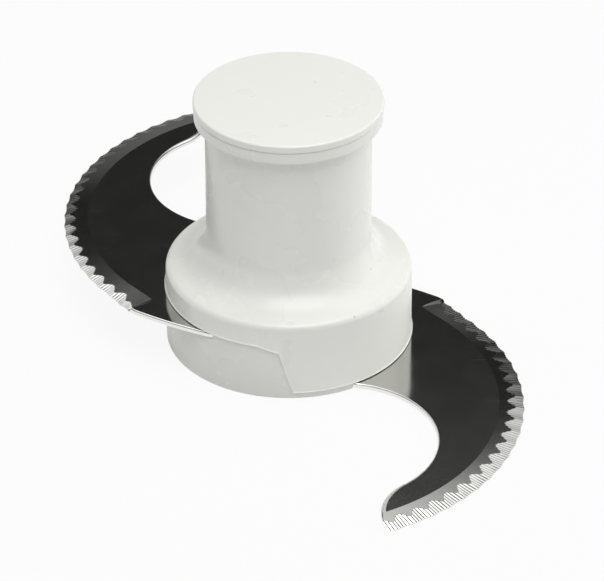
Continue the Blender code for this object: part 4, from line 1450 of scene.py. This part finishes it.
class KNIFE_OT_stage(bpy.types.Operator):
    """Set up the floor, the world, the lamps, the dark flags and the camera"""

    bl_idname = "knife.stage"
    bl_label = "Stage"

    def execute(self, context):
        scene = context.scene
        settings = scene.knife_stage
        self.make_camera(scene)
        self.make_world(scene, settings)
        self.make_floor(settings)
        self.make_flags()
        powers = (settings.back_power, settings.front_power, settings.right_power,
                  settings.left_power)
        for (name, place, size, in_gloss), power in zip(LAMPS, powers):
            add_lamp(name, place, size, power).visible_glossy = in_gloss
        scene.view_settings.view_transform = "Standard"
        return {"FINISHED"}

    def make_camera(self, scene):
        lens = bpy.data.cameras.new("photo_camera")
        lens.sensor_width = CAMERA_SENSOR
        lens.lens = CAMERA_LENS
        lens.clip_end = CAMERA_SIGHT
        camera = bpy.data.objects.new("photo_camera", lens)
        camera.location = CAMERA_PLACE
        camera.rotation_euler = (math.radians(CAMERA_TILT), 0.0, 0.0)
        scene.collection.objects.link(camera)
        scene.camera = camera

    def make_world(self, scene, settings):
        world = bpy.data.worlds.new("white_surround")
        world.use_nodes = True
        scene.world = world
        add = NodeMaker(world.node_tree)
        background = world.node_tree.nodes["Background"].inputs
        background["Color"].default_value = WHITE
        level = add.ranged(seen_plainly(add), low=settings.world_level, high=1.0)
        add.feed(background["Strength"], level)

    def make_floor(self, settings):
        material, add = stage_material("white_floor")
        plain = add("ShaderNodeEmission", {"Color": WHITE, "Strength": 1.0})
        lit = add("ShaderNodeBsdfDiffuse", {"Color": FLOOR_COLOUR})
        amount = add.maths("MULTIPLY", seen_plainly(add), settings.floor_glow)
        mix = add("ShaderNodeMixShader", {0: amount, 1: lit.outputs[0], 2: plain.outputs[0]})
        add("ShaderNodeOutputMaterial", {"Surface": mix.outputs[0]})
        reach = FLOOR_REACH
        stage_object("floor", [(-reach, -reach, FLOOR_Z), (reach, -reach, FLOOR_Z),
                               (reach, reach, FLOOR_Z), (-reach, reach, FLOOR_Z)],
                     [(0, 1, 2, 3)], material)

    def make_flags(self):
        """A ring of dark panels round the table that only shows as reflections in the steel."""
        material, add = stage_material("dark_flags")
        parts = add("ShaderNodeSeparateXYZ", {0: add.place()}).outputs
        heading = add.maths("ARCTAN2", parts[0], parts[1])
        aside = add.maths("PINGPONG", heading, math.radians(PANEL_HALF))
        soft_start, soft_end = PANEL_SOFT_EDGE
        in_gap = add.ranged(aside, math.radians(soft_start), math.radians(soft_end),
                            interpolation_type="SMOOTHSTEP")
        angle = add.maths("ARCSINE", add.maths("DIVIDE", parts[2], FLAG_DISTANCE))
        share_of_top = add.maths("DIVIDE", angle, math.radians(FLAG_TOP))
        level = add.tone(in_gap, flag_level(add, share_of_top, PANEL_LEVELS),
                         flag_level(add, share_of_top, GAP_LEVELS))
        dark = add("ShaderNodeEmission", {"Color": level, "Strength": FLAG_BRIGHTEST})
        add("ShaderNodeOutputMaterial", {"Surface": dark.outputs[0]})
        points = []
        for row in range(FLAG_ROWS + 1):
            turn = math.radians(FLAG_FOOT + (FLAG_TOP - FLAG_FOOT) * row / FLAG_ROWS)
            reach = FLAG_DISTANCE * math.cos(turn)
            points += [(*polar((0.0, 0.0), reach, 360.0 * i / FLAG_COLUMNS),
                        FLAG_DISTANCE * math.sin(turn)) for i in range(FLAG_COLUMNS)]
        faces = []
        for base in range(0, FLAG_ROWS * FLAG_COLUMNS, FLAG_COLUMNS):
            above = base + FLAG_COLUMNS
            for i in range(FLAG_COLUMNS):
                j = (i + 1) % FLAG_COLUMNS
                faces.append((base + i, base + j, above + j, above + i))
        flags = stage_object("dark_flags", points, faces, material)
        for kind in ("camera", "diffuse", "shadow", "transmission", "volume_scatter"):
            setattr(flags, "visible_" + kind, False)


class KNIFE_PT_panel(bpy.types.Panel):
    """Sizes, finishes and the buttons that build each piece"""

    bl_label = "Food processor knife"
    bl_idname = "KNIFE_PT_panel"
    bl_space_type = "VIEW_3D"
    bl_region_type = "UI"
    bl_category = "Knife"

    def draw(self, context):
        layout = self.layout
        for label, group in (("Hub", "knife_hub"), ("Blades", "knife_blade"),
                             ("Socket", "knife_socket"), ("Finishes", "knife_finish"),
                             ("Stage", "knife_stage")):
            box = layout.box()
            box.label(text=label)
            settings = getattr(context.scene, group)
            for name in settings.__annotations__:
                box.prop(settings, name)
        for operator in OPERATORS:
            layout.operator(operator.bl_idname)


OPERATORS = (KNIFE_OT_top_cap, KNIFE_OT_upper_hub, KNIFE_OT_lower_hub, KNIFE_OT_drive_socket,
             KNIFE_OT_lower_blade, KNIFE_OT_upper_blade, KNIFE_OT_stage)
GROUPS = (("knife_hub", KnifeHubSizes), ("knife_blade", KnifeBladeSizes),
          ("knife_socket", KnifeSocketSizes), ("knife_finish", KnifeFinishes),
          ("knife_stage", KnifeStageSettings))


def register():
    for name, group in GROUPS:
        bpy.utils.register_class(group)
        setattr(bpy.types.Scene, name, bpy.props.PointerProperty(type=group))
    for operator in OPERATORS:
        bpy.utils.register_class(operator)
    bpy.utils.register_class(KNIFE_PT_panel)


def unregister():
    bpy.utils.unregister_class(KNIFE_PT_panel)
    for operator in reversed(OPERATORS):
        bpy.utils.unregister_class(operator)
    for name, group in reversed(GROUPS):
        delattr(bpy.types.Scene, name)
        bpy.utils.unregister_class(group)


def main():
    register()
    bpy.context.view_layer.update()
    bpy.ops.knife.stage()
    bpy.ops.knife.top_cap()
    bpy.ops.knife.upper_hub()
    bpy.ops.knife.lower_hub()
    bpy.ops.knife.drive_socket()
    bpy.ops.knife.lower_blade()
    bpy.ops.knife.upper_blade()
    bpy.context.view_layer.update()


if __name__ == "__main__":
    main()
